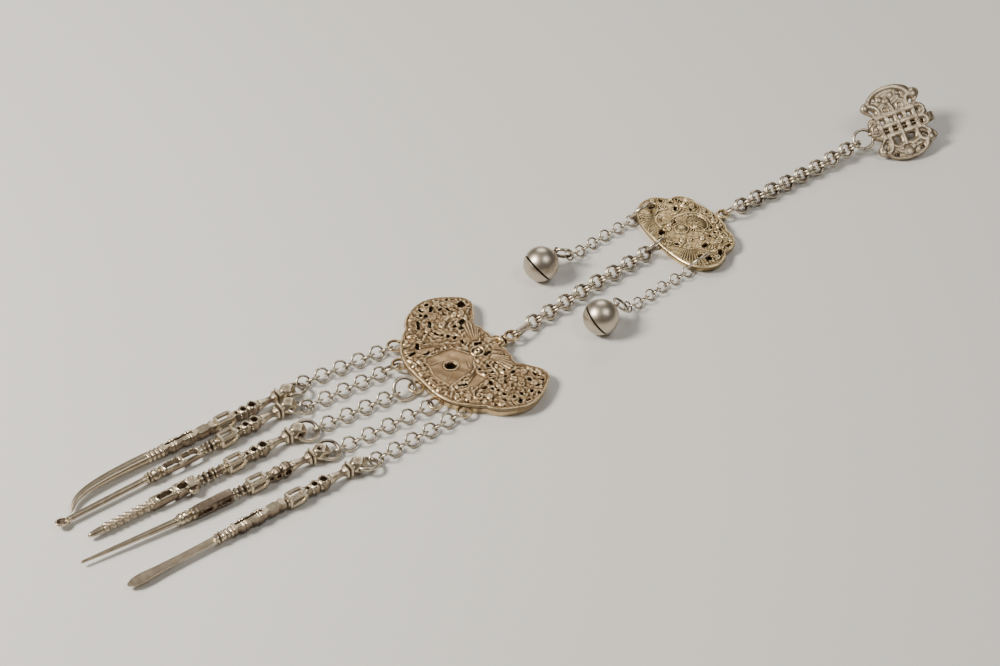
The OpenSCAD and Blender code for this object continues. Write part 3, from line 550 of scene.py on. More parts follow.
def silver_finish(name, worn, body, tarnish_and_shade, rough_worn, rough_dull, patch_mm, grain_mm, depth, low,
                  high):
    """Silver whose colour follows its relief: tarnish and painted shade in the hollows, body metal, worn
    bright tops.

    patch_mm is the size of the uneven patches of tarnish, grain_mm the size of the surface's grain,
    and depth its height; low and high are the relief values where tarnish and painted shade end and wear
    begins.
    """
    material = bpy.data.materials.new(name)
    material.use_nodes = True
    tree = material.node_tree
    tree.nodes.clear()
    place = add(tree, "TexCoord")
    relief = add(tree, "Attribute", {"attribute_name": "relief"})
    patches = noise(tree, place, patch_mm, 4.0, 0.6)
    grain = noise(tree, place, grain_mm, 3.0, 0.55)
    # The relief, shifted up and down by the patches
    sway = add(tree, "Math", {"operation": "MULTIPLY_ADD", 1: 0.5, 2: -0.25}, {0: (patches, "Fac")})
    height = add(tree, "Math", {"operation": "ADD"}, {0: (relief, "Fac"), 1: (sway, "Value")})
    # Low relief takes the tarnish colour: real tarnish, and painted shade in the hollows
    # A mix of colours has its factor at input 0, its two colours at 6 and 7, and its result at output 2
    dull = add(tree, "Mix", {"data_type": "RGBA", 6: linear(tarnish_and_shade), 7: linear(body)},
               {0: (ramp(tree, height, 0.0, low), "Result")})
    colour = add(tree, "Mix", {"data_type": "RGBA", 7: linear(worn)},
                 {0: (ramp(tree, height, low, high), "Result"), 6: (dull, 2)})
    rough = ramp(tree, height, 0.0, 1.0, rough_dull, rough_worn, "LINEAR")
    uneven = add(tree, "Bump", {"Strength": 1.0, "Distance": depth * MM}, {"Height": (grain, "Fac")})
    shader = add(tree, "BsdfPrincipled", {"Metallic": 1.0},
                 {"Base Color": (colour, 2), "Roughness": (rough, "Result"),
                  "Normal": (uneven, "Normal")})
    add(tree, "OutputMaterial", {}, {"Surface": (shader, "BSDF")})
    return material


# Cast and pierced silver: brown tarnish and painted shade in the hollows, warm body, worn pale tops
CAST_SILVER = silver_finish(
    "cast_pierced_silver", "#e0caa4", "#8a7153", "#1e150e",
    0.3, 0.5, 4.0, 0.4, 0.05, 0.46, 0.9)
# The clip is handled more, so it is greyer and smoother
CLIP_SILVER = silver_finish(
    "handled_cast_silver", "#e2d4bb", "#a08f77", "#2a2018",
    0.34, 0.56, 4.0, 0.5, 0.03, 0.4, 0.9)
# The middle plaque shows warmer, a thin golden tarnish over fine chasing
WARM_SILVER = silver_finish(
    "warm_chased_silver", "#e2cea4", "#8c7755", "#221810",
    0.3, 0.5, 3.5, 0.35, 0.04, 0.46, 0.86)
# Drawn wire: smooth, bright outside; darker inside, with tarnish and painted shade where the links lie
# in each other, and dirt in the joints
LINK_SILVER = silver_finish(
    "drawn_wire_silver", "#cfc3ae", "#82766a", "#28211b",
    0.28, 0.46, 3.0, 0.5, 0.02, 0.3, 0.9)
# Bells: thin spun sheet, satin, with faint brown bloom
BELL_SILVER = silver_finish(
    "spun_sheet_silver", "#cbc0ae", "#a3978a", "#4a3e34",
    0.36, 0.44, 5.0, 0.9, 0.02, 0.3, 1.0)
# Tools: solid cast silver, filed and handled, brown tarnish and painted shade in the cuts
TOOL_SILVER = silver_finish(
    "filed_cast_silver", "#c9bba2", "#7f7060", "#221a14",
    0.3, 0.48, 3.5, 0.4, 0.04, 0.32, 0.95)


# Large plaque

LARGE_H, SKIN = 4.0, 0.9
LARGE_HALF = [
    (18.6, 0), (18.4, 2.8), (16.6, 3.4), (16.9, 5.6), (16.3, 7.2), (16.6, 9.2), (15.6, 10.8),
    (15.6, 13.0), (17.5, 15), (19.2, 17.7), (20.9, 20.3), (21.5, 23.1), (20.6, 25.8), (18.3, 27.9),
    (15.5, 30), (12, 31.9), (8.3, 32.9), (4.5, 32.7), (0, 30.9), (-3, 29), (-5.3, 26.4), (-6.2, 24.7),
    (-7.6, 23.7), (-10.2, 21.4), (-13, 18.2), (-15.2, 14.6), (-16.6, 10), (-17, 5), (-17, 0)]
# Holes: place along and across, length, width and angle
LARGE_HOLES = [
    (7.2, 27.5, 3.2, 1.1, 50), (2.4, 27, 1.6, 1.1, 60), (3.5, 25.5, 2.2, 1, 50),
    (3.8, 29, 2.2, 1.1, 100), (7.2, 30.4, 1.8, 1, 15), (-1.4, 23.3, 4.6, 0.9, 60),
    (2.2, 21.2, 3.4, 1, 60), (1.4, 15.6, 1.9, 0.9, 100), (2.4, 13.9, 1.1, 1, 0), (4, 12.3, 1.5, 1.2, 0),
    (17.5, 23.1, 3.4, 2.6, 60), (12.1, 23.8, 2, 0.8, 80), (8.9, 15.1, 1.5, 1.3, 0),
    (12.4, 15.5, 2.8, 1.7, 20), (10.3, 12.9, 1.6, 1.2, 50), (5.4, 10.1, 2, 1.2, 20),
    (6.4, 6.9, 1.9, 1, 90), (14.8, 28.4, 1.4, 0.8, 20), (9.8, 25.4, 1.5, 0.8, 0),
    (3.5, -11.3, 1.2, 0.9, 0), (5.8, -12.2, 1.4, 0.9, -40), (3.8, -13.6, 1.2, 0.8, 20),
    (2, -16.2, 2.4, 1.1, 65), (-1.3, -16.8, 2, 1, -15), (0.7, -18.8, 1.3, 0.9, 70),
    (2.1, -20.6, 1.2, 0.9, 0), (2.6, -23.4, 1.5, 1.1, 80), (1.1, -26, 1.4, 1, -40),
    (4.6, -26.5, 1.5, 1, 30), (7.7, -27.1, 1.6, 0.9, 80), (11.2, -27.9, 1.6, 1, 50),
    (5.1, -29.4, 2.4, 1.2, 55), (7.6, -30.8, 1.6, 0.8, 0), (12.9, -29.9, 1.6, 0.8, 30),
    (14.1, -22.7, 1.7, 1.2, 80), (17.2, -21.5, 1.7, 0.9, 80), (17.8, -25.6, 1.7, 0.8, 10),
    (11.7, -16.2, 1.6, 1.1, 20), (8.3, -16.4, 1.2, 0.9, 30), (9.8, -13.5, 1, 0.7, 90),
    (14.7, -26.9, 2, 0.8, 15), (-4.3, -0.8, 3.6, 3, -30), (-11.4, 12.3, 3.4, 1.1, 10),
    (-7.9, 14.5, 3, 1.1, 55), (-7.1, 9.6, 3, 1.3, 10), (-2.9, 9.4, 1.3, 1, 0),
    (-6.4, -11.1, 3.6, 1, -15), (3, -8.4, 1.2, 1, 0), (6.5, -8.4, 1.6, 0.7, 80),
    (10.3, 3, 2.8, 1.2, -25), (10.1, -3.2, 3, 1.2, 15)]
# The smooth field in the middle, and the two plain wedges beside it
LOZENGE = np.array([(1.3, 6.6), (5.8, -1.4), (0.4, -7.3), (-10.6, -9.0), (-12.1, -1.5), (-9.7, 7.8)])
WEDGES = [np.array([(1.2, -8.6), (2.6, -13.4), (-2.6, -14.6), (-7.0, -12.6)]),
          np.array([(-8.6, 9.2), (-12.0, 15.4), (-3.4, 11.6), (-1.0, 9.2)])]
LARGE_CURLS = [
    (10.4, 28.2, 1.5, 30), (5.2, 23.4, 1.3, 160), (14.4, 25.6, 1.3, -330), (-1.2, 27.2, 1.4, 90),
    (14.6, 19.4, 1.4, 200), (5.6, 18.2, 1.5, 1), (0, 19.0, 1.2, 120), (12, 20.2, 1.2, -60),
    (10.4, -23.2, 1.6, 30), (5.2, -22.4, 1.2, 160), (14.4, -25.0, 1.2, -330), (-1.2, -26.6, 1.4, -90),
    (14.6, -18.4, 1.4, 200), (5.4, -17.8, 1.4, 1), (9.6, -19.6, 1.2, -120), (-2.2, -21.6, 1.2, 60),
    (-5.2, -18.9, 1.9, 120), (-11.4, -14.6, 1.1, 40), (-9.0, -18.0, 1.0, -200), (-14.4, -8.0, 1.0, 90),
    (-15.0, -3.4, 1.0, -90), (-15.2, 2.0, 1.0, 90), (-14.6, 7.0, 1.0, -60), (-10.4, 18.6, 1.1, 200)]
# Flowers: place, radius and petals
LARGE_FLOWERS = [(9.4, 20.6, 1.9, 6), (8.6, -25.0, 1.5, 6), (17.6, 18.6, 1.2, 5)]
# Feathers to both wings, and the shell at the head: place along, near and far radius, first and last
# angle, ribs and height
LARGE_FANS = [(7.5, 5.2, 15.6, 48, 76, 5, 0.7), (9.4, 3.4, 9.6, 6, 46, 6, 0.75)]
# The ring round the field's oval hole, and strokes on the field: place, length, width and angle
OVAL_RING = (-4.3, -0.8, 5.2, 4.6, -30)
FIELD_STROKES = [(-6.8, -4.6, 4.8, 0, 28), (-7.2, 3.4, 4.8, 0, -12), (1.6, -3.2, 4.8, 0, 70)]
KNOB_X, KNOB_Y = 7.8, -0.2
# The side wall's section: how far in from the edge, and how high
LARGE_SECTION = [
    (0.9, 3.0), (0.9, 3.9), (0.55, 4.3), (0.25, 4.42), (0.02, 4.2), (-0.1, 3.95), (0.0, 3.7),
    (0.1, 3.3), (0.12, 2.6), (0.1, 1.6), (0.06, 0.7), (0.0, 0.3), (0.12, 0.05), (0.3, 0), (0.75, 0),
    (0.9, 0.2), (0.95, 1.6)]
# The baluster at the head: place and radius
BALUSTER = [
    (17.0, 0.01), (17.1, 2.2), (17.6, 2.5), (18.2, 2.55), (18.7, 2.2), (19.0, 1.75), (19.3, 1.6),
    (19.6, 1.9), (20.1, 2.05), (20.6, 1.75), (20.9, 1.4), (21.1, 0.01)]
LOWER_EYES = [(-13.1, 21.3), (-17.3, 12.4), (-19.2, -0.6), (-18.4, -11.3), (-12.6, -20.6)]
LARGE_STEP = 0.22
LARGE_EDGE = smooth_outline(mirrored(LARGE_HALF))


def large_relief(x, y, rim, holes):
    """Foliage over the wings and the lower band, the smooth field, the knob, fans and the raised edge."""
    field = outline_distance(x, y, LOZENGE)
    wedge = np.minimum(*(outline_distance(x, y, w) for w in WEDGES))

    def room(gx, gy):
        return highest(outline_distance(gx, gy, LARGE_EDGE) + 1.5,
                       0.3 - outline_distance(gx, gy, LOZENGE), 3.2 - np.hypot(gx - KNOB_X, gy - KNOB_Y))

    def swirl(gx, gy):
        return np.arctan2(gy, gx - 6) + 0.9 * np.sin(0.55 * gx) + 0.7 * np.cos(0.5 * gy)

    def counter_swirl(gx, gy):
        return swirl(gx, gy) + 0.9

    large_leaves = foliage(x, y, 2.0, room, swirl, SEED, half=1.75, height=0.85)
    small_leaves = foliage(x, y, 1.7, room, counter_swirl, SEED + 4, half=1.0, height=0.55)
    lips = bump(holes - 0.42, 0.34, 0.55)
    flowers = [flower(x, y, *row) for row in LARGE_FLOWERS]
    out = highest(0.05, large_leaves, small_leaves, lips, curls(x, y, LARGE_CURLS, 0.46, 0.9), *flowers)
    for place, near, far, first, last, ribs, height in LARGE_FANS:
        for side in (1, -1):
            spread = fan(x, y, place, 0, near, far, *sorted((side * first, side * last)), ribs, height)
            out = np.where(spread > 0.05, spread, out)
    # The smooth field with its raised border, the wedges, and the ring round the oval hole
    out = np.where(np.minimum(field, wedge) < 0.2, 0.12, out)
    crown = 0.25 * np.clip(-field / 4, 0, 1)
    out = np.where(field < 0, 0.32 + crown + 0.03 * np.sin(1.3 * x + 0.7 * y), out)
    oval = slot_distance(x, y, OVAL_RING)
    out = highest(out, bump(field, 0.42, 0.6), bump(wedge, 0.3, 0.4), bump(oval, 0.42, 0.85))
    for row in FIELD_STROKES:
        out = np.maximum(out, np.where(field < -0.4, bump(slot_distance(x, y, row), 0.32, 0.65), 0))
    # The knob: a ring and a drilled boss
    r = np.hypot(x - KNOB_X, y - KNOB_Y)
    knob = highest(0.15, bump(r - 2.35, 0.42, 0.75), bump(r, 1.5, 1.15))
    out = np.where(r < 0.45, 0.1, np.where(r < 2.9, knob, out))
    # Two raised lines along the edge
    out = np.where(rim > -1.25, 0.15, out)
    return highest(out, bump(rim + 0.32, 0.34, 0.6), bump(rim + 1.1, 0.26, 0.45))


def large_plaque():
    """The pierced face, its side wall, the baluster at its head and its six eyes."""
    x, y = grid_over(LARGE_EDGE, LARGE_STEP)
    rim = outline_distance(x, y, LARGE_EDGE)
    holes = hole_field(x, y, LARGE_HOLES)
    inside = np.maximum(rim + 0.06, -holes)
    relief = softened(large_relief(x, y, rim, holes))
    drop = edge_round(inside, 0.4)
    # Wear and painted shade: tops paler; hollows, and the edges rounding down into the openings, painted
    # darker over tarnish
    worn = shade(relief - 0.6 * drop, 3, 2.0) - 0.04
    shells = [sheet(x, y, inside, LARGE_STEP, LARGE_H + relief - drop, LARGE_H - SKIN, worn),
              swept_outline(LARGE_EDGE, LARGE_SECTION, LARGE_H, 0.96),
              turned([(u, r, r, 2) for u, r in BALUSTER], z0=LARGE_H - 1), eye((23.2, 0, 3.2), 2.2, 0.5)]
    shells += [eye((ex, ey, 2.5), 2.4, 0.42) for ex, ey in LOWER_EYES]
    return [moved(s, LARGE_AT, LARGE_TURN) for s in shells]


def eye(centre, radius, wire):
    """A level ring, its wire drawn thicker than the solid's and its inside kept, as the links' are."""
    extra = 0.3 * wire
    return flat_ring(centre, radius + extra, wire + extra)


# Middle plaque

MID_H = 3.2
MID_HALF = [
    (14.8, 0), (14.7, 2.5), (14.2, 5.4), (13.8, 7.4), (13, 8.8), (13.1, 11.5), (12.3, 14), (10.8, 16.3),
    (8.5, 17.9), (6.2, 18.1), (4.8, 18.8), (3.4, 20.4), (1, 22), (-2, 22.5), (-5, 21.8), (-8, 20),
    (-10, 17.5), (-11.5, 14), (-12.3, 10), (-12.8, 5), (-12.9, 0)]
MID_HOLES = [
    (2.1, 18.6, 2.2, 1.2, 75), (3.8, 11.6, 2.8, 1, 50), (4.6, 15.6, 1.2, 1, 0), (7.6, 15.7, 1, 0.8, 0),
    (8.2, 7.9, 1.4, 0.8, 80), (11, 8.2, 1.2, 0.8, 90), (-8.4, 3.4, 2.8, 2.2, 40),
    (-1.2, 5.2, 1.8, 0.7, 50), (-7.8, -5.1, 1.6, 1, -40), (5.1, -8.5, 1.4, 0.8, 40),
    (8.5, -4.6, 1.5, 0.7, 70), (7.8, -7.7, 1.3, 0.9, 80), (10.8, -7.4, 1.3, 0.8, 80),
    (0.4, -11.5, 2.8, 1.4, 20), (-4.6, -15.4, 2.2, 1.5, 0), (2.9, -17.6, 3.2, 1.2, 45),
    (7.9, -16.1, 2.2, 0.9, 10), (-3.0, 18.0, 3.4, 3.4, 0), (-2.9, -18.0, 2.4, 2.4, 0),
    (-11.0, 0.3, 2.4, 2.4, 0)]
MID_CURLS = [
    (11.6, 5.0, 1.5, 200), (12.2, 1.4, 1.3, -60), (11.9, -2.4, 1.4, 100), (11.6, -5.6, 1.3, -250),
    (9.9, -11.2, 1.9, 40), (10.6, -14.2, 1.2, -120), (6.2, -12.2, 1.4, 200), (5.2, -15.4, 1.2, 60),
    (9.9, 8.9, 1.2, 10), (10.9, 14.2, 1.1, 300), (5.4, 17.2, 0.9, -40), (0.2, 14.6, 1.4, 60),
    (-0.6, 20.0, 1.1, 20), (-4.6, -4.6, 1.1, 90), (-2.4, -5.8, 1.0, -200), (-5.4, 3.6, 1.0, 200),
    (-3.6, 5.4, 0.9, -30), (0.6, -19.2, 1.1, 120), (7.6, 11.0, 1.0, 250), (2.0, -8.0, 1.0, 20)]
# Smooth ridges: corner points, half width and height
MID_RIBBONS = [
    ([(1.2, 7.8), (5.6, 6.9), (9.0, 4.4), (10.2, 0.6), (9.4, -3.6)], 0.5, 0.6),
    ([(-6.6, 7.6), (-3.2, 6.6), (0.2, 7.4)], 0.4, 0.5),
    ([(-7.6, -6.8), (-3.4, -5.6), (1.0, -6.4)], 0.45, 0.55),
    ([(0.6, 9.4), (3.0, 9.2), (5.4, 10.0)], 0.45, 0.6),
    ([(12.9, 5.6), (11.2, 3.2), (12.6, 0.2), (11.0, -2.6)], 0.45, 0.7),
    ([(-5.0, 12.6), (-2.2, 13.9), (1.2, 13.2)], 0.5, 0.6),
    ([(4.4, -12.4), (7.2, -11.0), (9.6, -8.4)], 0.5, 0.6),
    ([(-2.0, -13.4), (1.0, -15.8), (4.6, -16.0)], 0.45, 0.55),
    ([(2.6, -3.0), (5.8, -5.4), (9.4, -6.2)], 0.45, 0.55)]
# Ribbed fans: centre, near and far radius, first and last angle, ribs and height
MID_FANS = [
    (-2.0, 7.2, 3.0, 12.5, 112, 200, 13, 0.36), (-2.0, -6.0, 3.2, 14.5, 200, 284, 15, 0.36),
    (-6.4, -0.6, 1.4, 5.6, 130, 232, 8, 0.34)]
# The side wall's section: how far in from the edge, and how high
MID_SECTION = [
    (0.9, 2.3), (0.9, 3.1), (0.5, 3.4), (0.2, 3.42), (0.0, 3.25), (-0.06, 3.0), (0.02, 2.7), (0.1, 2.2),
    (0.1, 1.4), (0.05, 0.6), (0.0, 0.3), (0.12, 0.05), (0.3, 0), (0.75, 0), (0.9, 0.2), (0.95, 1.2)]
MID_STEP = 0.2
MID_EDGE = smooth_outline(mirrored(MID_HALF))


def mid_relief(x, y, rim, holes):
    """Ribbed shells at the lower end, a small dome in its rings, a ribbed dome, flowers and knots."""
    def room(gx, gy):
        return np.maximum(outline_distance(gx, gy, MID_EDGE) + 1.2, 2.2 - gx + 0.35 * np.abs(gy))

    def swirl(gx, gy):
        return 0.9 * np.sin(0.7 * gy) + 1.2

    ground = 0.2 + 0.05 * np.sin(2.2 * x) * np.sin(1.9 * y)
    leafy = foliage(x, y, 1.9, room, swirl, SEED + 1, half=1.2, height=0.5)
    out = highest(leafy, ground, bump(holes - 0.4, 0.32, 0.4))
    # Each fan of ribs is crossed by an arc
    for x0, y0, near, *spread in MID_FANS:
        ribs = fan(x, y, x0, y0, near, *spread)
        arc = np.abs(np.hypot(x - x0, y - y0) - near - 2.2) < 0.35
        out = np.where(ribs > 0.02, np.where(arc, 0.5, 0.16 + ribs), out)
    out = highest(out, curls(x, y, MID_CURLS, 0.46, 0.66), ribbons(x, y, MID_RIBBONS))
    # The small dome with rings round its head side
    r = np.hypot(x + 1.2, y - 0.8)
    head_side = np.abs(np.degrees(np.arctan2(y - 0.8, x + 1.2)) - 30) < 85
    rings = [np.where(head_side, bump(r - radius, 0.32, 0.45), 0) for radius in (3.6, 4.5)]
    out = highest(np.where(r < 2.3, 0.0, out), bump(r, 2.4, 1.0), bump(r - 2.6, 0.4, 0.55), *rings)
    # The ribbed dome in the middle of the head side, with two arcs outside it
    q = np.hypot((x - 5.3) / 0.9, (y - 0.4) / 1.15)
    ribs = bump(q, 3.9, 1.0) * (1 + 0.13 * np.sin(24 * np.arctan2(y - 0.4, x - 3.0)))
    out = np.where((q < 3.9) & (r > 3.2), ribs, out)
    for radius, height in ((4.3, 0.55), (5.2, 0.4)):
        out = np.maximum(out, np.where(x > 3.6, bump(q - radius, 0.36, height), 0))
    # An almond flower near the far end and a rosette near the other
    almond = np.hypot(x - 8.3, (y - 12.4) / 1.45)
    out = highest(np.where(almond < 2.1, 0.1, out), bump(almond - 1.9, 0.3, 0.6),
                  bump(almond - 1.2, 0.26, 0.6), bump(almond, 0.75, 0.75),
                  flower(x, y, 1.8, -14.2, 1.9, 7))
    # The edge: a plain raised band
    return np.maximum(np.where(rim > -1.0, 0.1, out), bump(rim + 0.5, 0.5, 0.38))


def mid_plaque():
    """The domed pierced face, its low side wall and the eye at its head."""
    x, y = grid_over(MID_EDGE, MID_STEP)
    rim = outline_distance(x, y, MID_EDGE)
    holes = hole_field(x, y, MID_HOLES)
    inside = np.maximum(rim + 0.05, -holes)
    relief = mid_relief(x, y, rim, holes)
    dome = 0.55 * (1 - (1 - np.clip(-rim / 9, 0, 1)) ** 2)
    top = MID_H - 0.1 + dome + relief - edge_round(inside, 0.4)
    eye_z = MID_H - 0.6
    # The face's colour comes from shade(): wear on the tops, tarnish and painted shade in the hollows
    shells = [sheet(x, y, inside, MID_STEP, top, MID_H - SKIN + dome, shade(relief, 3, 1.5)),
              swept_outline(MID_EDGE, MID_SECTION, MID_H, 0.93), eye((17.6, 0, eye_z), 1.9, 0.5),
              rod((13.6, 0, eye_z), 2.3, 0.8, 0.45)]
    return [moved(s, MID_AT, MID_TURN) for s in shells]


# Clip

CLIP_L, CLIP_W, CLIP_T = 12.3, 15.3, 1.8
# The hook's depth from the plate, its width and half its thickness
HOOK_DEPTH, HOOK_W, HOOK_T = 6.9, 3.0, 0.5
CLIP_HALF = [
    (1, 0), (1, 0.16), (0.91, 0.28), (0.76, 0.34), (0.88, 0.43), (1, 0.54), (1.01, 0.64), (0.91, 0.72),
    (0.76, 0.75), (0.68, 0.83), (0.49, 0.92), (0.25, 0.98), (0, 1), (-0.25, 0.98), (-0.49, 0.92),
    (-0.68, 0.83), (-0.76, 0.75), (-0.91, 0.72), (-1.01, 0.64), (-1, 0.54), (-0.88, 0.43),
    (-0.76, 0.34), (-0.91, 0.28), (-1, 0.16), (-1, 0)]
CLIP_HOLES = [
    (-9.1, -7.6, 2.6, 1.2, 50), (-6.3, -12.4, 1.9, 1.1, -42), (4.6, -12.5, 2.0, 1.1, 29),
    (7.6, -7.8, 2.7, 1.1, -47), (-6.2, 11.3, 1.6, 1.1, 0), (4.2, 11.2, 1.7, 0.9, -45),
    (-9.0, 6.9, 2.9, 1.2, -53), (7.7, 6.5, 2.6, 1.1, 39), (-3.5, -6.6, 3.1, 2.7, 100),
    (2.3, -6.9, 3.4, 2.7, 20), (8.8, 1.8, 2.0, 0.7, -87), (8.9, -2.7, 1.6, 0.7, -87)]
# The endless knot: middle lines and half widths of its bands, and the gaps between them
KNOT_UPRIGHTS = (-8.3, -4.5, -0.7, 3.15, 7.0)
KNOT_CROSSES = ((4.0, 1.25), (-0.15, 1.15), (-2.2, 0.4), (-4.2, 1.15))
KNOT_GAPS = [(x, y, w, h) for x in (-6.4, -2.6, 1.2, 5.1)
             for y, w, h in ((1.75, 1.6, 1.6), (-1.6, 1.6, 0.65), (-2.8, 1.6, 0.65))]
# Ribbons of the lobes, and round bosses: place, radius and height
CLIP_RIBBONS = [
    ([(-11.6, 8.8), (-11.3, 6.6), (-9.8, 5.0), (-7.6, 4.2)], 0.85, 0.9),
    ([(-11.4, 9.4), (-9.4, 9.4), (-7.4, 8.2), (-6.5, 6.2), (-7.2, 4.4)], 0.85, 0.85),
    ([(-9.6, 10.6), (-7.8, 12.7), (-4.8, 14.0), (-1, 14.5), (3, 14.0), (6.2, 12.2), (7.8, 9.8)], 1.0, 0.9),
    ([(-4.6, 12.2), (-1.6, 13.0), (1.8, 12.6)], 0.7, 0.6),
    ([(9.9, 8.6), (9.7, 5.8), (7.2, 4.3)], 0.85, 0.85),
    ([(9.2, 9.0), (6.6, 8.8), (5.8, 6.8), (6.4, 4.6)], 0.85, 0.85),
    ([(-0.8, 4.2), (-0.9, 6.4), (-1.7, 8.6)], 0.8, 0.95),
    ([(-5.6, 4.6), (-5.9, 7.0), (-4.0, 8.4), (-1.9, 8.0)], 0.6, 0.7),
    ([(0.2, 7.8), (2.6, 8.6), (4.8, 7.4), (4.9, 4.8)], 0.6, 0.75),
    ([(-11.3, -9.4), (-11.0, -6.8), (-9.2, -5.0), (-6.8, -4.3)], 0.9, 0.9),
    ([(-11, -10), (-8.6, -10.4), (-6.8, -8.8), (-6.3, -6.2), (-6.8, -4.4)], 0.85, 0.85),
    ([(-9.8, -11.2), (-7.8, -13.7), (-4.4, -14.9), (0, -15.2), (4.0, -14.4), (6.6, -12.4), (7.8, -10.4)],
     1.0, 0.9),
    ([(9.6, -9.4), (9.9, -7.0), (8.4, -5.0), (6.2, -4.3)], 0.9, 0.9),
    ([(9.0, -10), (6.4, -9.8), (5.2, -7.8), (5.2, -4.8)], 0.85, 0.85),
    ([(-0.7, -4.4), (-0.7, -6.4), (-1.0, -9.2)], 0.85, 0.85),
    ([(-5.9, -8.4), (-4.2, -9.6), (-1.4, -9.0)], 0.7, 0.75),
    ([(-0.4, -9.0), (2.2, -9.7), (4.6, -9.0)], 0.7, 0.75),
    ([(-5.6, -10.4), (-3.6, -12.0), (-1.8, -11.4)], 0.6, 0.7),
    ([(0.6, -12.0), (2.8, -11.0), (4.8, -10.8)], 0.6, 0.7),
    ([(8.2, 3.9), (10.4, 3.6), (11.3, 1.9), (10.3, 0.2), (8.2, -0.2)], 0.75, 0.8),
    ([(8.2, -0.6), (10.2, -0.9), (11.2, -2.6), (10.2, -4.2), (8.2, -4.6)], 0.75, 0.8)]
CLIP_BOSSES = [
    (-11.3, 9.1, 1.45, 1.25), (9.6, 8.7, 1.6, 1.3), (9.4, -9.7, 1.5, 1.25), (-11.1, -9.7, 1.45, 1.2),
    (-1.9, 9.2, 1.4, 1.15), (-4.2, 10.4, 1.2, 0.95), (3.2, 9.6, 1.1, 0.8), (0.6, 11.2, 1.4, 0.75),
    (-1.2, -12.7, 2.0, 1.2), (-3.4, -10.6, 1.1, 0.95), (1.4, -11.0, 1.2, 0.85), (-10.2, -0.3, 0.8, 0.9)]
# The ribbons and bosses stand this much wider than their middle lines' tables say
RIBBON_SHARE, BOSS_SHARE = 1.5, 1.3
CLIP_STEP = 0.17
CLIP_EDGE = smooth_outline(mirrored(np.array(CLIP_HALF) * [CLIP_L, CLIP_W]), 4)


def clip_relief(x, y):
    """Two lobes of smooth ribbons and bosses, a coil at the lower end, and the bands of the knot."""
    lobes = ribbons(x, y, [(line, RIBBON_SHARE * half, height) for line, half, height in CLIP_RIBBONS])
    coil = bump(line_distance(x, y, spiral(-10.2, -0.3, 2.9, 100, 1.5, 0.42, 40)), 0.5, 0.85)
    bosses = [bump(np.hypot(x - x0, y - y0), BOSS_SHARE * radius, height)
              for x0, y0, radius, height in CLIP_BOSSES]
    out = highest(0.45, lobes, coil, *bosses)
    # Rims of the two blind ovals
    for x0, y0, angle in ((-3.6, 5.9, 100), (2.7, 6.0, 80)):
        oval = slot_distance(x, y, (x0, y0, 2.4, 1.9, angle))
        out = np.where(oval < 0, 0.1, np.maximum(out, bump(oval - 0.3, 0.4, 0.8)))
    # Bands of the knot, each one rising over the next and dipping under the one after
    woven = np.full(x.shape, 0.3)
    for k, place in enumerate(KNOT_UPRIGHTS):
        lift = 0.8 + 0.1 * np.cos((y + 4.2) * np.pi / 2.1 + k * np.pi)
        woven = np.maximum(woven, bump(x - place, 1.14, lift, 4))
    for k, (place, half) in enumerate(KNOT_CROSSES):
        lift = 0.8 + 0.1 * np.cos((x + 0.65) * np.pi / 3.85 + k * np.pi)
        woven = np.maximum(woven, bump(y - place, half, lift, 4))
    beside, above = np.abs(x + 0.65), np.abs(y + 0.1)
    panel = (beside < 8.6) & (above < 5.2)
    return np.where(panel & (above < 4.6), woven, np.where(panel, np.maximum(out, woven), out))


def belt_hook():
    """A flat strip from the back of the plate, round past its head, and back to a turned-up tip."""
    bend = HOOK_DEPTH / 2 - HOOK_T
    top = -CLIP_T / 2 - 0.4
    low = top - 2 * bend
    angle = np.linspace(np.pi / 2, -np.pi / 2, 16)[:, None]
    arc = np.hstack([CLIP_L + 0.4 + bend * np.cos(angle), top - bend + bend * np.sin(angle)])
    line = np.vstack([[(1.9, top), (2.0, top), (7.0, top)], arc, [(6.0, low), (0.0, low), (-5.4, low)],
                      [(-7.0, low + 0.5), (-8.8, low + 1.35), (-9.0, low + 1.45)]])
    length = np.concatenate([[0], np.cumsum(np.linalg.norm(np.diff(line, axis=0), axis=1))])
    t = np.linspace(0, length[-1], 110)
    line = np.column_stack([np.interp(t, length, line[:, k]) for k in (0, 1)])
    ahead = np.gradient(line, axis=0)
    ahead /= np.linalg.norm(ahead, axis=1)[:, None]
    path = np.column_stack([line[:, 0], np.full(len(line), -1.2), line[:, 1]])
    up = np.column_stack([-ahead[:, 1], ahead[:, 0] * 0, ahead[:, 0]])
    half_w = np.interp(t, [0, t[-1] * 0.8, t[-1]], [HOOK_W / 2, HOOK_W / 2, 1.15])
    half_h = np.full(len(t), HOOK_T)
    half_w[[0, -1]] = half_h[[0, -1]] = TIP
    return swept(path, np.broadcast_to(Y_AXIS, path.shape), up, half_w, half_h, 5, relief=0.6)


def clip_plate():
    """The pierced plate on its lean, with the lug under its lower end and the hook behind it."""
    x, y = grid_over(CLIP_EDGE, CLIP_STEP)
    holes = hole_field(x, y, CLIP_HOLES)
    for gx, gy, w, h in KNOT_GAPS:
        holes = np.minimum(holes, np.maximum(np.abs(x - gx) - w / 2, np.abs(y - gy) - h / 2))
    inside = np.maximum(outline_distance(x, y, CLIP_EDGE), -holes)
    relief = softened(clip_relief(x, y))
    fall = edge_round(inside, 0.55)
    top = 0.65 + 0.25 * np.cos(x / 9) * np.cos(y / 11) + relief - fall
    # Its colour comes from shade(): wear on the tops, tarnish and painted shade in the hollows
    face = sheet(x, y, inside, CLIP_STEP, top, -CLIP_T / 2 + 0.6 * fall, shade(relief, 5, 0.9))
    lug = wire_link(np.array([-11.8, -0.6, -1.4]), X_AXIS, Y_AXIS, 0, 1.25, 0.42)
    return [moved(s, CLIP_AT, CLIP_TURN) for s in (face, lug, belt_hook())]


# Bells

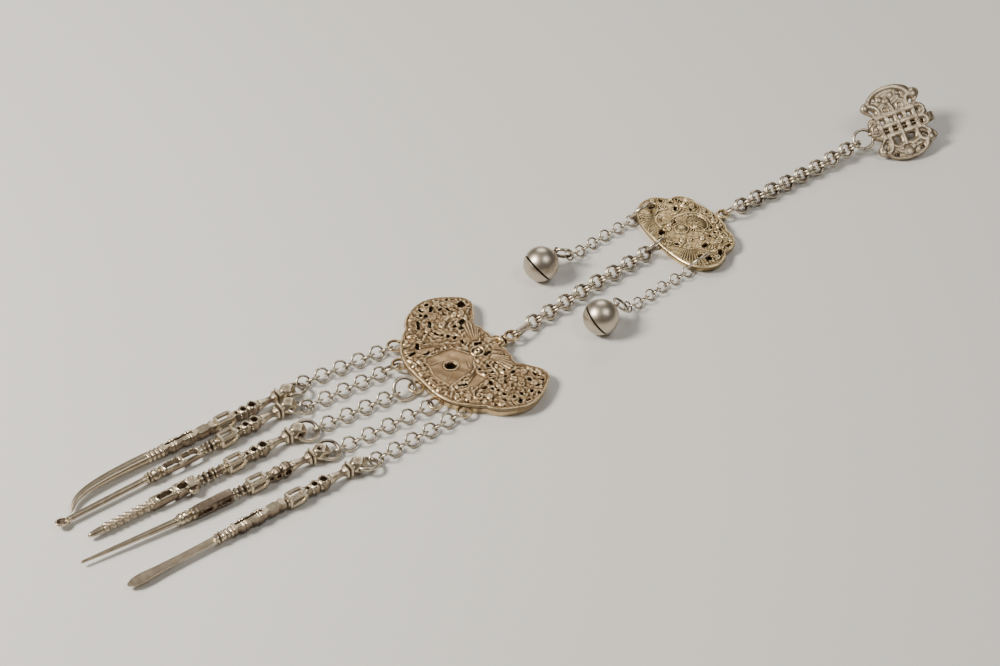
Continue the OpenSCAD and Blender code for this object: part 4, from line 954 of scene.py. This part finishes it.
BELL_R, BELL_WALL = 6.6, 0.7
# The slit: its width, the radius of the hole at each end, first angle, length in degrees, and height
SLIT_W, SLIT_END_R, SLIT_FROM, SLIT_TURN, SLIT_OFF = 0.62, 0.9, 75, 230, -1.6
BELL_EYE_H, BELL_EYE_R, BELL_EYE_WIRE = 1.2, 1.05, 0.28
# The lug under the eye: height and radius
BELL_LUG = [(5.9, 0.01), (6.0, 1.6), (6.5, 1.45), (6.75, 1.15), (7.05, 0.95), (7.1, 0.01)]
# Each bell: place, axis of its eye, the eye's spin, and the axis its slit runs round
BELLS = {
    "bell_far": ((30.8, 13.3, BELL_R), (0.96, 0.06, 0.27), 164, (0.774, -0.186, 0.601)),
    "bell_near": ((28.6, -22.3, BELL_R), (0.97, -0.01, 0.23), 196, (0.71, -0.37, 0.60)),
}


def steer(axis):
    """The turns that carry +Z onto an axis."""
    x, y, z = np.array(axis) / np.linalg.norm(axis)
    return 0, math.degrees(math.acos(z)), math.degrees(math.atan2(y, x))


def bell(at, axis, eye_spin, slit_axis):
    """A hollow ball in two cups: a grid of latitude and longitude with the slit and its end holes cut.

    Distances on the ball are measured along its surface at the slit's latitude. The seam of the two
    cups shows as a fine raised line.
    """
    belt = math.asin(SLIT_OFF / BELL_R)
    round_the_slit = BELL_R * math.cos(belt)
    columns = 190
    step = 2 * np.pi * round_the_slit / columns
    rows = int(np.pi * BELL_R / step)
    x, y = np.meshgrid(np.linspace(-np.pi / 2, np.pi / 2, rows + 1) * BELL_R,
                       np.linspace(0, 2 * np.pi, columns + 1) * round_the_slit, indexing="ij")
    across = x - belt * BELL_R
    turn = np.degrees(y / round_the_slit)
    past = np.radians(np.abs(turn - SLIT_FROM - SLIT_TURN / 2) - SLIT_TURN / 2) * round_the_slit
    slit = np.where(past < 0, np.abs(across), np.hypot(across, past)) - SLIT_W / 2
    inside = -np.minimum(slit, np.hypot(across, past) - SLIT_END_R)

    def place(px, py):
        lat, lon = px / BELL_R, py / round_the_slit
        ray = np.stack([np.cos(lat) * np.cos(lon), np.cos(lat) * np.sin(lon), np.sin(lat)], -1)
        outer = BELL_R - 0.04 + 0.05 * np.exp(-((across / 0.35) ** 2)) - edge_round(inside, 0.22)
        relief = np.clip(0.75 - 0.5 * np.exp(-((across / 0.4) ** 2)), 0, 1)
        return ray * outer[..., None], ray * (BELL_R - BELL_WALL), relief
    lug = turned([(u, r, r, 2) for u, r in BELL_LUG])
    lug = (lug[0][:, [1, 2, 0]],) + lug[1:]
    s = math.radians(eye_spin)
    loop = wire_link(Z_AXIS * (BELL_R + BELL_EYE_H), Z_AXIS, np.array([math.sin(s), -math.cos(s), 0]), 0,
                     BELL_EYE_R, BELL_EYE_WIRE, joint=np.pi)
    cups = pierced(x, y, inside, step, place)
    return [moved(cups, at, steer(slit_axis)), moved(lug, at, steer(axis)), moved(loop, at, steer(axis))]


# Turned and filed bars

# The rows of a turned bar lie this far apart, and the grid points of a cut bar
BAR_STRIDE, FRET_STEP = 0.12, 0.17
# The knob's half length, and how sharp its facets meet
CUT_R, CUT_POWER = 2.8, 60


def straight_bar(path, half_w, half_h, power, around, relief=0.7):
    """A bar along +X whose sections stay upright."""
    across, up = (np.broadcast_to(axis, path.shape) for axis in (Y_AXIS, Z_AXIS))
    return swept(path, across, up, half_w, half_h, power, around, relief=relief)


def moving_mean(values, reach):
    """The mean over a number of neighbours on each side."""
    window = np.ones(2 * reach + 1) / (2 * reach + 1)
    return np.convolve(np.pad(values, reach, mode="edge"), window, "valid")


def turned(rows, z0=0.0, shape=None, around=24):
    """A bar along +X from rows of place, half width, half height and squareness.

    The rows are joined by straight lines, then softened by a short moving average, as filing does.
    shape, if given, moves the finished points. The hollows of the profile get a low relief, so they are
    painted darker with tarnish and painted shade, and the ridges paler.
    """
    rows = np.array(rows, float)
    count = int((rows[-1, 0] - rows[0, 0]) / BAR_STRIDE) + 2
    u = np.linspace(rows[0, 0], rows[-1, 0], count)
    w, h, power = (np.interp(u, rows[:, 0], rows[:, k]) for k in (1, 2, 3))
    w, h = moving_mean(w, 1), moving_mean(h, 1)
    w[[0, -1]] = h[[0, -1]] = TIP
    # Tarnish and painted shade in the hollows, paler on the ridges
    relief = np.clip(0.62 + (w + h - moving_mean(w + h, 12)) / 1.2, 0.05, 1)
    path = np.column_stack([u, np.zeros(count), np.full(count, z0)])
    shell = straight_bar(path, w, h, power, around, relief[:, None])
    return shell if shape is None else (shape(shell[0]),) + shell[1:]


def fretted(first, last, width, height, holes=(), groove=None):
    """A bar cut through from above, along +X: half width and half height are numbers or functions.

    Both faces round off towards the edges, holes have raised lips, and groove lowers the top.
    """
    x, y = np.meshgrid(np.arange(first - FRET_STEP, last + 2 * FRET_STEP, FRET_STEP),
                       np.arange(-3.2, 3.3, FRET_STEP), indexing="ij")
    width, height = (size(x) if callable(size) else size for size in (width, height))
    holes = hole_field(x, y, holes, 0.03)
    inside = highest(np.abs(y) - width, first - x, x - last, -holes)
    fall = edge_round(inside, 0.45)
    lip = bump(holes - 0.3, 0.3, 0.22)
    sunk = groove(x, y) if groove else 0.0
    # Painted shade where the faces round off and, with tarnish, down the groove; paler on the lips
    relief = np.clip(0.75 - 0.55 * fall + lip - 1.2 * sunk, 0, 1)

    def place(px, py):
        top, bottom = height - fall + lip - sunk, fall - height - lip
        return np.stack([px, py, top], -1), np.stack([px, py, bottom], -1), relief
    return pierced(x, y, inside, FRET_STEP, place)


def rod(start, length, half_w, half_h, power=2.0, around=16):
    """A straight bar along +X with rounded ends."""
    t = np.linspace(0, 1, 14)
    taper = np.sqrt(np.clip(1 - (2 * t - 1) ** 40, 0, 1))
    taper[[0, -1]] = TIP
    path = np.array(start) + t[:, None] * length * X_AXIS
    return straight_bar(path, half_w * taper, half_h * taper, power, around)


def ball(centre, radii, relief=0.85, rows=12, columns=18):
    """An ellipsoid from its angles up and round."""
    up, turn = ball_angles(rows, columns)
    ray = np.stack([np.cos(up) * np.cos(turn), np.cos(up) * np.sin(turn), np.sin(up)], -1)
    return surface(ray * radii + centre, relief)


def studded_ball(place, radius):
    """A ball with six beads round it."""
    reach = radius - 0.45
    beads = [ball((place, reach * math.cos(a), reach * math.sin(a)), (0.7, 0.6, 0.6), 1.0)
             for a in np.radians(np.arange(0, 360, 60))]
    return [ball((place, 0, 0), radius, 0.7, 18, 26)] + beads


def cut_knob():
    """The faceted knob with a dimple where its ring passes.

    In each direction the radius is where that ray leaves the planes, blended by a high power so that
    the facets keep slightly worn edges.
    """
    up, turn = ball_angles(44, 64)
    ray = np.stack([np.sin(up), np.cos(up) * np.cos(turn), np.cos(up) * np.sin(turn)], -1)
    planes = [((1, 0, 0), CUT_R), ((0, 1, 0), 2.4), ((0, 0, 1), 2.4), ((0, 1, 1), 3.05),
              ((0, 1, -1), 3.05)]
    for s in (1, -1):
        planes += [((1, s, 0), 3.2), ((1, 0, s), 3.2), ((1, s, 1), 2.86), ((1, s, -1), 2.86)]
    total = sum(np.abs(ray @ np.array(n) / math.hypot(*n) / reach) ** CUT_POWER for n, reach in planes)
    grid = ray * (total ** (-1 / CUT_POWER))[..., None]
    grid[..., 0] += CUT_R
    dimple = np.clip(1 - ((grid[..., 0] - 3.3) ** 2 + (grid[..., 2] + 0.1) ** 2) / 0.95**2, 0, 1)
    grid[..., 1] *= 1 - 0.3 * dimple
    edge = np.clip((np.linalg.norm(grid - CUT_R * X_AXIS, axis=-1) - 2.45) / 0.6, 0, 1)
    # Paler where the facets meet, as wear; tarnish and painted shade in the dimple
    return surface(grid, np.clip(0.5 + 0.5 * edge - 0.7 * dimple, 0, 1))


# Tools

HEAD_ROWS = [
    (4.6, 1.6, 1.6, 5), (5.9, 1.6, 1.6, 5), (5.92, 2.45, 2.45, 6), (6.95, 2.45, 2.45, 6),
    (6.97, 1.6, 1.6, 5), (7.3, 1.6, 1.6, 5), (7.32, 2.0, 2.0, 6), (8.2, 1.9, 1.9, 6),
    (8.22, 1.6, 1.6, 5), (9.2, 1.1, 1.1, 4), (10.4, 0.98, 0.98, 4), (12.2, 1.2, 1.2, 4),
    (13.8, 1.55, 1.5, 4), (14.8, 1.55, 1.4, 4), (15.0, 0.9, 0.9, 4), (15.1, 0.01, 0.01, 4)]
LANTERN_ROWS = [
    (23.6, 0.01, 0.01, 4), (23.65, 1.3, 1.3, 4), (24.2, 1.4, 1.4, 4), (24.22, 2.1, 2.1, 2),
    (24.85, 2.1, 2.1, 2), (24.9, 2.3, 2.3, 6), (26.0, 2.3, 2.3, 6), (26.1, 2.2, 2.2, 6),
    (26.15, 0.01, 0.01, 6)]
LANTERN_END = [
    (30.4, 0.01, 0.01, 6), (30.45, 2.2, 2.2, 6), (30.6, 2.3, 2.3, 6), (31.6, 2.3, 2.3, 6),
    (31.62, 1.9, 1.9, 2), (32.3, 1.9, 1.9, 2), (32.35, 0.01, 0.01, 2)]
SCROLL_HOLES = [(16.8, 0, 2.4, 2.4, 0), (20.4, 0, 2.0, 2.0, 0), (23.2, 0, 1.3, 1.3, 0)]
# The scroll's swellings: place and radius. Its eyes: place, radius and height. Its balls: place along
# and across
SWELLINGS = ((16.7, 2.15), (20.3, 2.0), (23.2, 1.5))
SCROLL_EYES = ((16.8, 1.45, 1.75), (20.4, 1.2, 1.6))
SCROLL_BALLS = ((18.6, 1.7), (21.9, 1.5))
LANTERN_X, LANTERN_BAR_L, LANTERN_BAR_OUT, LANTERN_BAR_R = 25.6, 5.4, 1.64, 0.7
# Along the arched block: places of its notches and of its ring ridges
NOTCHES, RIDGES = (2.4, 7.0, 13.2, 18.6), (9.5, 10.6, 15.7, 16.8)


def scroll_width(u):
    """Three round swellings joined by a straight neck: the widest of the circles' chords."""
    out = np.where((u > 14.3) & (u < 24.5), 1.4, 0.0)
    for centre, radius in SWELLINGS:
        out = np.maximum(out, np.sqrt(np.clip(radius**2 - (u - centre) ** 2, 0, None)))
    return out


def scroll_height(u):
    """The scroll is a little thinner than it is wide."""
    return 0.25 + 0.82 * scroll_width(u)


def tool_head():
    """Knob, stepped collar, waisted neck, pierced scroll and the lantern with four corner bars."""
    both = (1, -1)
    shells = [cut_knob(), turned(HEAD_ROWS), turned(LANTERN_ROWS), turned(LANTERN_END),
              fretted(14.3, 24.5, scroll_width, scroll_height, SCROLL_HOLES)]
    shells += [flat_ring((u, 0, side * z), radius, 0.3, steps=28, around=8)
               for u, radius, z in SCROLL_EYES for side in both]
    shells += [ball((u, side * y, 0), (0.55, 0.55, 0.9)) for u, y in SCROLL_BALLS for side in both]
    return shells + [rod((LANTERN_X, y * LANTERN_BAR_OUT, z * LANTERN_BAR_OUT), LANTERN_BAR_L,
                         LANTERN_BAR_R, LANTERN_BAR_R, 3.5, 12) for y in both for z in both]


def collars(rows, core, first, last):
    """A core rod with round collars: rows of place, length and radius."""
    table = [(first, 0.01, 0.01, 2), (first + 0.02, core, core, 2)]
    for place, length, radius in rows:
        table += [(place, core, core, 2), (place + 0.02, radius, radius, 2),
                  (place + length, radius, radius, 2), (place + length + 0.02, core, core, 2)]
    return turned(table + [(last - 0.02, core, core, 2), (last, 0.01, 0.01, 2)])


def arched(start):
    """The arched block of the first and last tool: notched sides, ring ridges, a slot along its back."""
    def steps(v, centres, half):
        return sum(np.exp(-(((v - centre) / half) ** 4)) for centre in centres)

    def width(u):
        return 1.74 - 0.5 * steps(u - start, NOTCHES, 0.6) + 0.34 * steps(u - start, RIDGES, 0.33)

    def height(u):
        return 1.7 + 0.12 * np.sin((u - start) * 0.62 + 0.6) + 0.3 * steps(u - start, RIDGES, 0.33)

    def groove(u, y):
        v = u - start
        along = np.clip(1 - np.maximum(np.abs(v - 13.7) - 5.2, 0) / 0.4, 0, 1)
        leafy = 0.04 * (0.5 + 0.5 * np.sin(v * 2.2) * np.cos(y * 1.2)) * (v < 9)
        return np.exp(-(((y + 0.6) / 0.3) ** 4)) * along + leafy
    return fretted(start, start + 20.5, width, height, groove=groove)


def ribbed(first, count, pitch, rib_w, rib_h, core_w, core_h, last):
    """Square ribs at an even pitch on a square core."""
    table = [(first - 0.6, 0.01, 0.01, 4), (first - 0.58, core_w, core_h, 4)]
    for k in range(count):
        u = first + k * pitch
        table += [(u, core_w, core_h, 4), (u + 0.02, rib_w, rib_h, 4),
                  (u + pitch * 0.58, rib_w, rib_h, 4), (u + pitch * 0.6, core_w, core_h, 4)]
    return turned(table + [(last - 0.02, core_w, core_h, 4), (last, 0.01, 0.01, 4)])


def blade(rows, power):
    """A blade through rows of place, offset across, offset up, half width and half height.

    The rows are joined by a smooth curve, and the section stays square to the blade's run.
    """
    rows = np.array(rows, float)
    t = np.linspace(0, len(rows) - 1, 90)
    before = np.clip(np.floor(t).astype(int), 0, len(rows) - 2)
    corners = (rows[np.clip(before + k, 0, len(rows) - 1)] for k in (-1, 0, 1, 2))
    line = spline(*corners, (t - before)[:, None])
    ahead = np.gradient(line[:, :3], axis=0)
    ahead /= np.linalg.norm(ahead, axis=1)[:, None]
    across = np.cross(Z_AXIS, ahead)
    across /= np.linalg.norm(across, axis=1)[:, None]
    line[[0, -1], 3:] = TIP
    return swept(line[:, :3], across, np.cross(ahead, across), line[:, 3], line[:, 4], power)


def curved_pick():
    """A flat pick that bends to one side."""
    rows = [(59.6, 0, 0.2, 1.6, 1.3), (59.9, 0, 0.2, 1.9, 1.55), (70, 0.3, 0.3, 1.8, 1.4),
            (78, 0.9, 0.3, 1.65, 1.2), (84, 1.9, 0.2, 1.4, 0.95), (88, 3.5, -0.1, 1.1, 0.75),
            (91.2, 6.4, -0.7, 0.5, 0.45), (91.5, 6.8, -0.75, 0.3, 0.3)]
    return tool_head() + [arched(32.0), ribbed(52.6, 4, 1.7, 1.85, 1.55, 1.6, 1.35, 60.4),
                          blade(rows, 2.6)]


def spoon_bowl():
    """An ellipsoid whose upper side sinks to a bowl inside a rounded lip, tipped up a little."""
    up, turn = ball_angles(26, 36)
    r = np.cos(up)
    bowl = 0.5 * np.sin(up) - 1.1 * np.clip(1 - (r / 0.78) ** 2, 0, 1) ** 0.7
    x, y, z = 2.8 * r * np.cos(turn), 2.1 * r * np.sin(turn), 1.15 * np.where(up > 0, bowl, np.sin(up))
    tilt = math.radians(14)
    grid = np.stack([93.6 + x * math.cos(tilt) - z * math.sin(tilt), y,
                     0.2 + z * math.cos(tilt) + x * math.sin(tilt)], -1)
    # The inside of the bowl is painted darker: tarnish and painted shade
    return surface(grid, np.where((up > 0) & (r < 0.75), 0.35, 0.85))


def ear_spoon():
    """A tiny spoon on a round shaft, below a flat handle with two slots and a studded ball."""
    def width(u):
        return 2.25 - 0.008 * (u - 44) ** 2

    rows = [(32.5, 0.5, 1.5), (33.8, 0.9, 2.1), (35.7, 0.7, 2.0), (37.4, 0.7, 1.8)]
    upper = collars(rows, 1.35, 31.6, 39.8)
    handle = fretted(39.4, 54.4, width, 1.25, [(43.2, 0, 6.0, 2.9, 0), (50.4, 0, 6.0, 2.5, 0)])
    lower = collars([(54.3, 0.8, 1.9), (59, 0.7, 2.0), (60.2, 0.7, 1.7)], 1.25, 54.0, 62.0)
    shaft = turned([(61, 0.01, 0.01, 2), (61.1, 1.12, 1.12, 2), (75, 1.1, 1.1, 2), (91.6, 1.05, 1.05, 2),
                    (91.8, 0.01, 0.01, 2)])
    return (tool_head() + [upper, handle, ball((46.9, 0, 1.2), (0.9, 0.9, 0.5))] + studded_ball(57, 2.1)
            + [lower, shaft, spoon_bowl()])


def teeth(points):
    """Slanting teeth: a triangle wave along the blade shifted by the place across it."""
    u, y, z = points.T
    wave = np.abs(((u - 60.6) / 2.6 + 0.32 * y * np.sign(z + 1e-9)) % 1 - 0.5) * 2
    depth = (0.42 * np.clip(wave * 1.6 - 0.5, 0, 1) - 0.1) * ((u > 61.5) & (u < 79.5))
    return points * np.column_stack([np.ones(len(u)), 1 - depth * 0.85, 1 - depth * 0.85])


def serrated_file():
    """A toothed blade with a small round end, below two slotted blocks."""
    def width(u):
        return 2.25 + 0.15 * np.sin(u)

    rows = [(32.5, 1, 1.6), (33.4, 0.8, 2.0), (36, 0.8, 2.1), (37.2, 0.8, 2.1), (39.4, 0.9, 2.1),
            (41.4, 0.9, 1.9)]
    shells = tool_head() + [
        collars(rows, 1.4, 31.6, 44.0), fretted(43.3, 51.9, width, 1.7, [(49.0, 0, 3.6, 2.6, 0)]),
        fretted(51.5, 61.2, 1.9, 1.6, [(56.1, 0, 5.4, 2.0, 0)]),
        flat_ring((46.2, 2.6, 0.2), 1.2, 0.7, steps=28)]
    beads = ((44.4, 1.3), (44.4, -1.3), (46.2, -1.5), (52.3, 0.9))
    shells += [ball((u, y, 1.4), 0.6, 1.0) for u, y in beads]
    blade_rows = [(60.6, 0.01, 0.01, 4), (60.7, 1.6, 1.25, 4), (79.6, 1.5, 1.1, 4), (79.9, 1.1, 1.1, 2),
                  (80.6, 1.3, 1.3, 2), (84.8, 0.92, 0.92, 2), (85.4, 0.7, 0.7, 2), (85.7, 0.01, 0.01, 2)]
    return shells + [turned(blade_rows, shape=teeth, around=36)]


def needle_pick():
    """A long needle below a slotted handle and a studded ball; its head is rolled a quarter turn."""
    def width(u):
        return 2.0 - 0.006 * (u - 42) ** 2

    upper = collars([(31.7, 1.1, 1.9), (34, 0.8, 1.9), (36, 0.9, 1.8)], 1.35, 31.6, 38.6)
    handle = fretted(38, 53.4, width, 1.75, [(41.9, 0, 5.5, 1.9, 0), (49.2, 0, 5.5, 1.9, 0)])
    rolled = [(s[0][:, [0, 2, 1]] * [1, -1, 1],) + s[1:] for s in tool_head() + [upper, handle]]
    lower = collars([(53, 0.9, 2.1), (57, 1, 2.0), (57.9, 0.9, 1.8)], 1.45, 52.8, 60.0)
    length, bend = 34.9, math.radians(-2.8)
    tip, off = 59.4 + length * math.cos(bend), length * math.sin(bend)
    rows = [(59.2, 0, 0, 1.25, 1.25), (68, -0.43, 0, 1.1, 1.1), (80, -1.0, 0, 0.86, 0.86),
            (90, -1.5, 0, 0.62, 0.62), (tip - 0.4, off, 0, 0.52, 0.52), (tip, off, 0, 0.2, 0.2)]
    return rolled + studded_ball(55.6, 2.05) + [lower, blade(rows, 2.0)]


def spear_spatula():
    """A flat blade that widens to a pointed end."""
    rows = [(60.2, 0.01, 0.01, 4), (60.4, 1.5, 0.5, 4), (72.4, 1.45, 0.5, 4), (82.4, 1.75, 0.5, 4),
            (87.9, 2.2, 0.5, 4), (91.4, 1.9, 0.48, 4), (93.9, 0.65, 0.4, 4), (94.0, 0.01, 0.01, 4)]
    return tool_head() + [arched(32.8), collars([(57.9, 0.8, 2.0), (59.2, 0.8, 1.8)], 1.4, 57.0, 61.0),
                          ribbed(53.6, 3, 1.5, 1.65, 1.4, 1.45, 1.2, 58.2), turned(rows)]


def place_tool(name, shells):
    """A tool in its place, running from its knob towards -X."""
    x, y, slant = TOOL_PLACES[name]
    return [moved(s, (x, y, TOOL_HEAD_Z), (0, TOOL_SLOPE, 180 - slant)) for s in shells]


# The scene

# The wire is drawn thicker than the frame's, as a share of its radius; less where links lie close
WIRE_SHARES = {"tool_ring_2": 1.0, "tool_chain_2": 1.45, "bell_loop_near": 1.1, "bell_ring_near": 1.25,
               "bell_chain_near": 1.3, "lower_chain": 1.36, "oblong_link": 1.4}
WIRE_SHARE = 1.5
# Two rings whose middles are nearer than this are one double link, in mm
DOUBLE = 1.5
# A drawn node stands at least this far above the table, in mm
TABLE_GAP = 0.01
# A node with more links than this has them drawn with fewer sides: round the bend, and round the wire
MANY_LINKS, FEW_SIDES, MORE_SIDES = 12, (36, 10), (48, 14)


def fuller(name, links):
    """Links in thicker wire whose bends grow by as much, so that their insides and their gaps stay.

    Two links that lie side by side move apart by the same amount. A node that would reach into the
    table is lifted onto it.
    """
    centres = np.array([link[0] for link in links])
    share = WIRE_SHARES.get(name, WIRE_SHARE)
    out = []
    for centre, along, normal, straight, bend, wire in links:
        extra = wire * (share - 1)
        beside = centres - centre
        far = np.linalg.norm(beside, axis=1)
        beside = beside[(far > 0.1) & (far < DOUBLE)] @ normal
        apart = -np.sign(beside.sum()) * extra * normal
        out.append((centre + apart, along, normal, straight, bend + extra, wire + extra))
    lowest = min(c[2] - bend * math.sqrt(1 - n[2] ** 2) - abs(a[2]) * straight / 2 - wire
                 for c, a, n, straight, bend, wire in out)
    lift = Z_AXIS * max(0.0, TABLE_GAP - lowest)
    return [(link[0] + lift,) + link[1:] for link in out]


def build_links():
    """Every chain and loose ring, link by link, from the frame's own solids."""
    nodes = ["clip_ring", "upper_chain", "upper_jump_ring", "bell_ring_far", "bell_ring_near",
             "bell_chain_far", "bell_chain_near", "bell_loop_far", "bell_loop_near", "mid_lower_ring",
             "lower_chain", "oblong_link", "plaque_ring_2", "plaque_ring_3"]
    nodes += [f"tool_chain_{k}" for k in range(1, 6)] + [f"tool_ring_{k}" for k in range(1, 6)]
    rng = np.random.default_rng(SEED)
    for name in nodes:
        links = loose_links(name)
        steps, around = FEW_SIDES if len(links) > MANY_LINKS else MORE_SIDES
        shells = [wire_link(*link, rng.uniform(0, 2 * np.pi), steps, around)
                  for link in fuller(name, links)]
        make_piece(name, shells, LINK_SILVER)


build_links()
make_piece("large_plaque", large_plaque(), CAST_SILVER)
make_piece("mid_plaque", mid_plaque(), WARM_SILVER)
make_piece("clip_plate", clip_plate(), CLIP_SILVER)
for bell_name, bell_row in BELLS.items():
    make_piece(bell_name, bell(*bell_row), BELL_SILVER)
for tool in (curved_pick, ear_spoon, serrated_file, needle_pick, spear_spatula):
    make_piece(tool.__name__, place_tool(tool.__name__, tool()), TOOL_SILVER)


# Table, light and camera

TABLE_HALF, BOARD_ROUGHNESS = 1.6, 0.9
# The camera's distance, and its right and up directions, from the pieces' places in the picture
CAMERA_AWAY = 1.0
CAMERA_RIGHT, CAMERA_UP = (0.766, -0.643, 0.0), (0.4385, 0.5224, 0.731)


def light(name, place, aim, size, power, colour):
    """A square soft light at a place, facing a point."""
    data = bpy.data.lights.new(name, "AREA")
    data.shape, data.size, data.energy, data.color = "SQUARE", size, power, colour
    lamp = bpy.data.objects.new(name, data)
    bpy.context.scene.collection.objects.link(lamp)
    toward = np.array(aim, float) - np.array(place, float)
    lamp.location = place
    lamp.rotation_euler = Vector(toward).to_track_quat("-Z", "Y").to_euler()


def table():
    """A wide pale table top at z = 0."""
    mesh = bpy.data.meshes.new("table_top")
    half = TABLE_HALF
    corners = [(-half, -half, 0), (half, -half, 0), (half, half, 0), (-half, half, 0)]
    mesh.from_pydata(corners, [], [(0, 1, 2, 3)])
    material = bpy.data.materials.new("matt_pale_board")
    material.use_nodes = True
    shader = material.node_tree.nodes["Principled BSDF"]
    shader.inputs["Base Color"].default_value = linear("#d9d7d2")
    shader.inputs["Roughness"].default_value = BOARD_ROUGHNESS
    mesh.materials.append(material)
    top = bpy.data.objects.new("table_top", mesh)
    bpy.context.scene.collection.objects.link(top)


def camera():
    """A 100 mm lens a metre away, 43 degrees above the table, looking from the near left side."""
    data = bpy.data.cameras.new("photo_camera")
    data.lens, data.sensor_width = 100, 36
    data.clip_start, data.clip_end = 0.05, 10
    eye_at = bpy.data.objects.new("photo_camera", data)
    bpy.context.scene.collection.objects.link(eye_at)
    right, up = np.array(CAMERA_RIGHT), np.array(CAMERA_UP)
    right /= np.linalg.norm(right)
    up -= right * (up @ right)
    up /= np.linalg.norm(up)
    back = np.cross(right, up)
    place = -MIDDLE * MM + back * CAMERA_AWAY
    turn_and_place = np.column_stack([right, up, back, place])
    eye_at.matrix_world = Matrix(np.vstack([turn_and_place, [0, 0, 0, 1]]).tolist())
    bpy.context.scene.camera = eye_at


def world(colour, strength):
    """Even pale light from all round."""
    scene_world = bpy.data.worlds.new("studio")
    bpy.context.scene.world = scene_world
    scene_world.use_nodes = True
    background = scene_world.node_tree.nodes["Background"]
    background.inputs["Color"].default_value = linear(colour)
    background.inputs["Strength"].default_value = strength


table()
camera()
world("#e9e4da", 0.12)
light("soft_box_left", (-0.6, 0.35, 0.7), (0, 0, 0), 0.3, 15, (1.0, 0.95, 0.88))
light("soft_box_far", (0.75, 0.85, 0.8), (0, 0, 0), 0.6, 5, (1.0, 0.96, 0.9))
light("soft_box_top", (0.25, -0.42, 0.85), (0.05, 0, 0), 0.36, 2.6, (1.0, 0.98, 0.95))
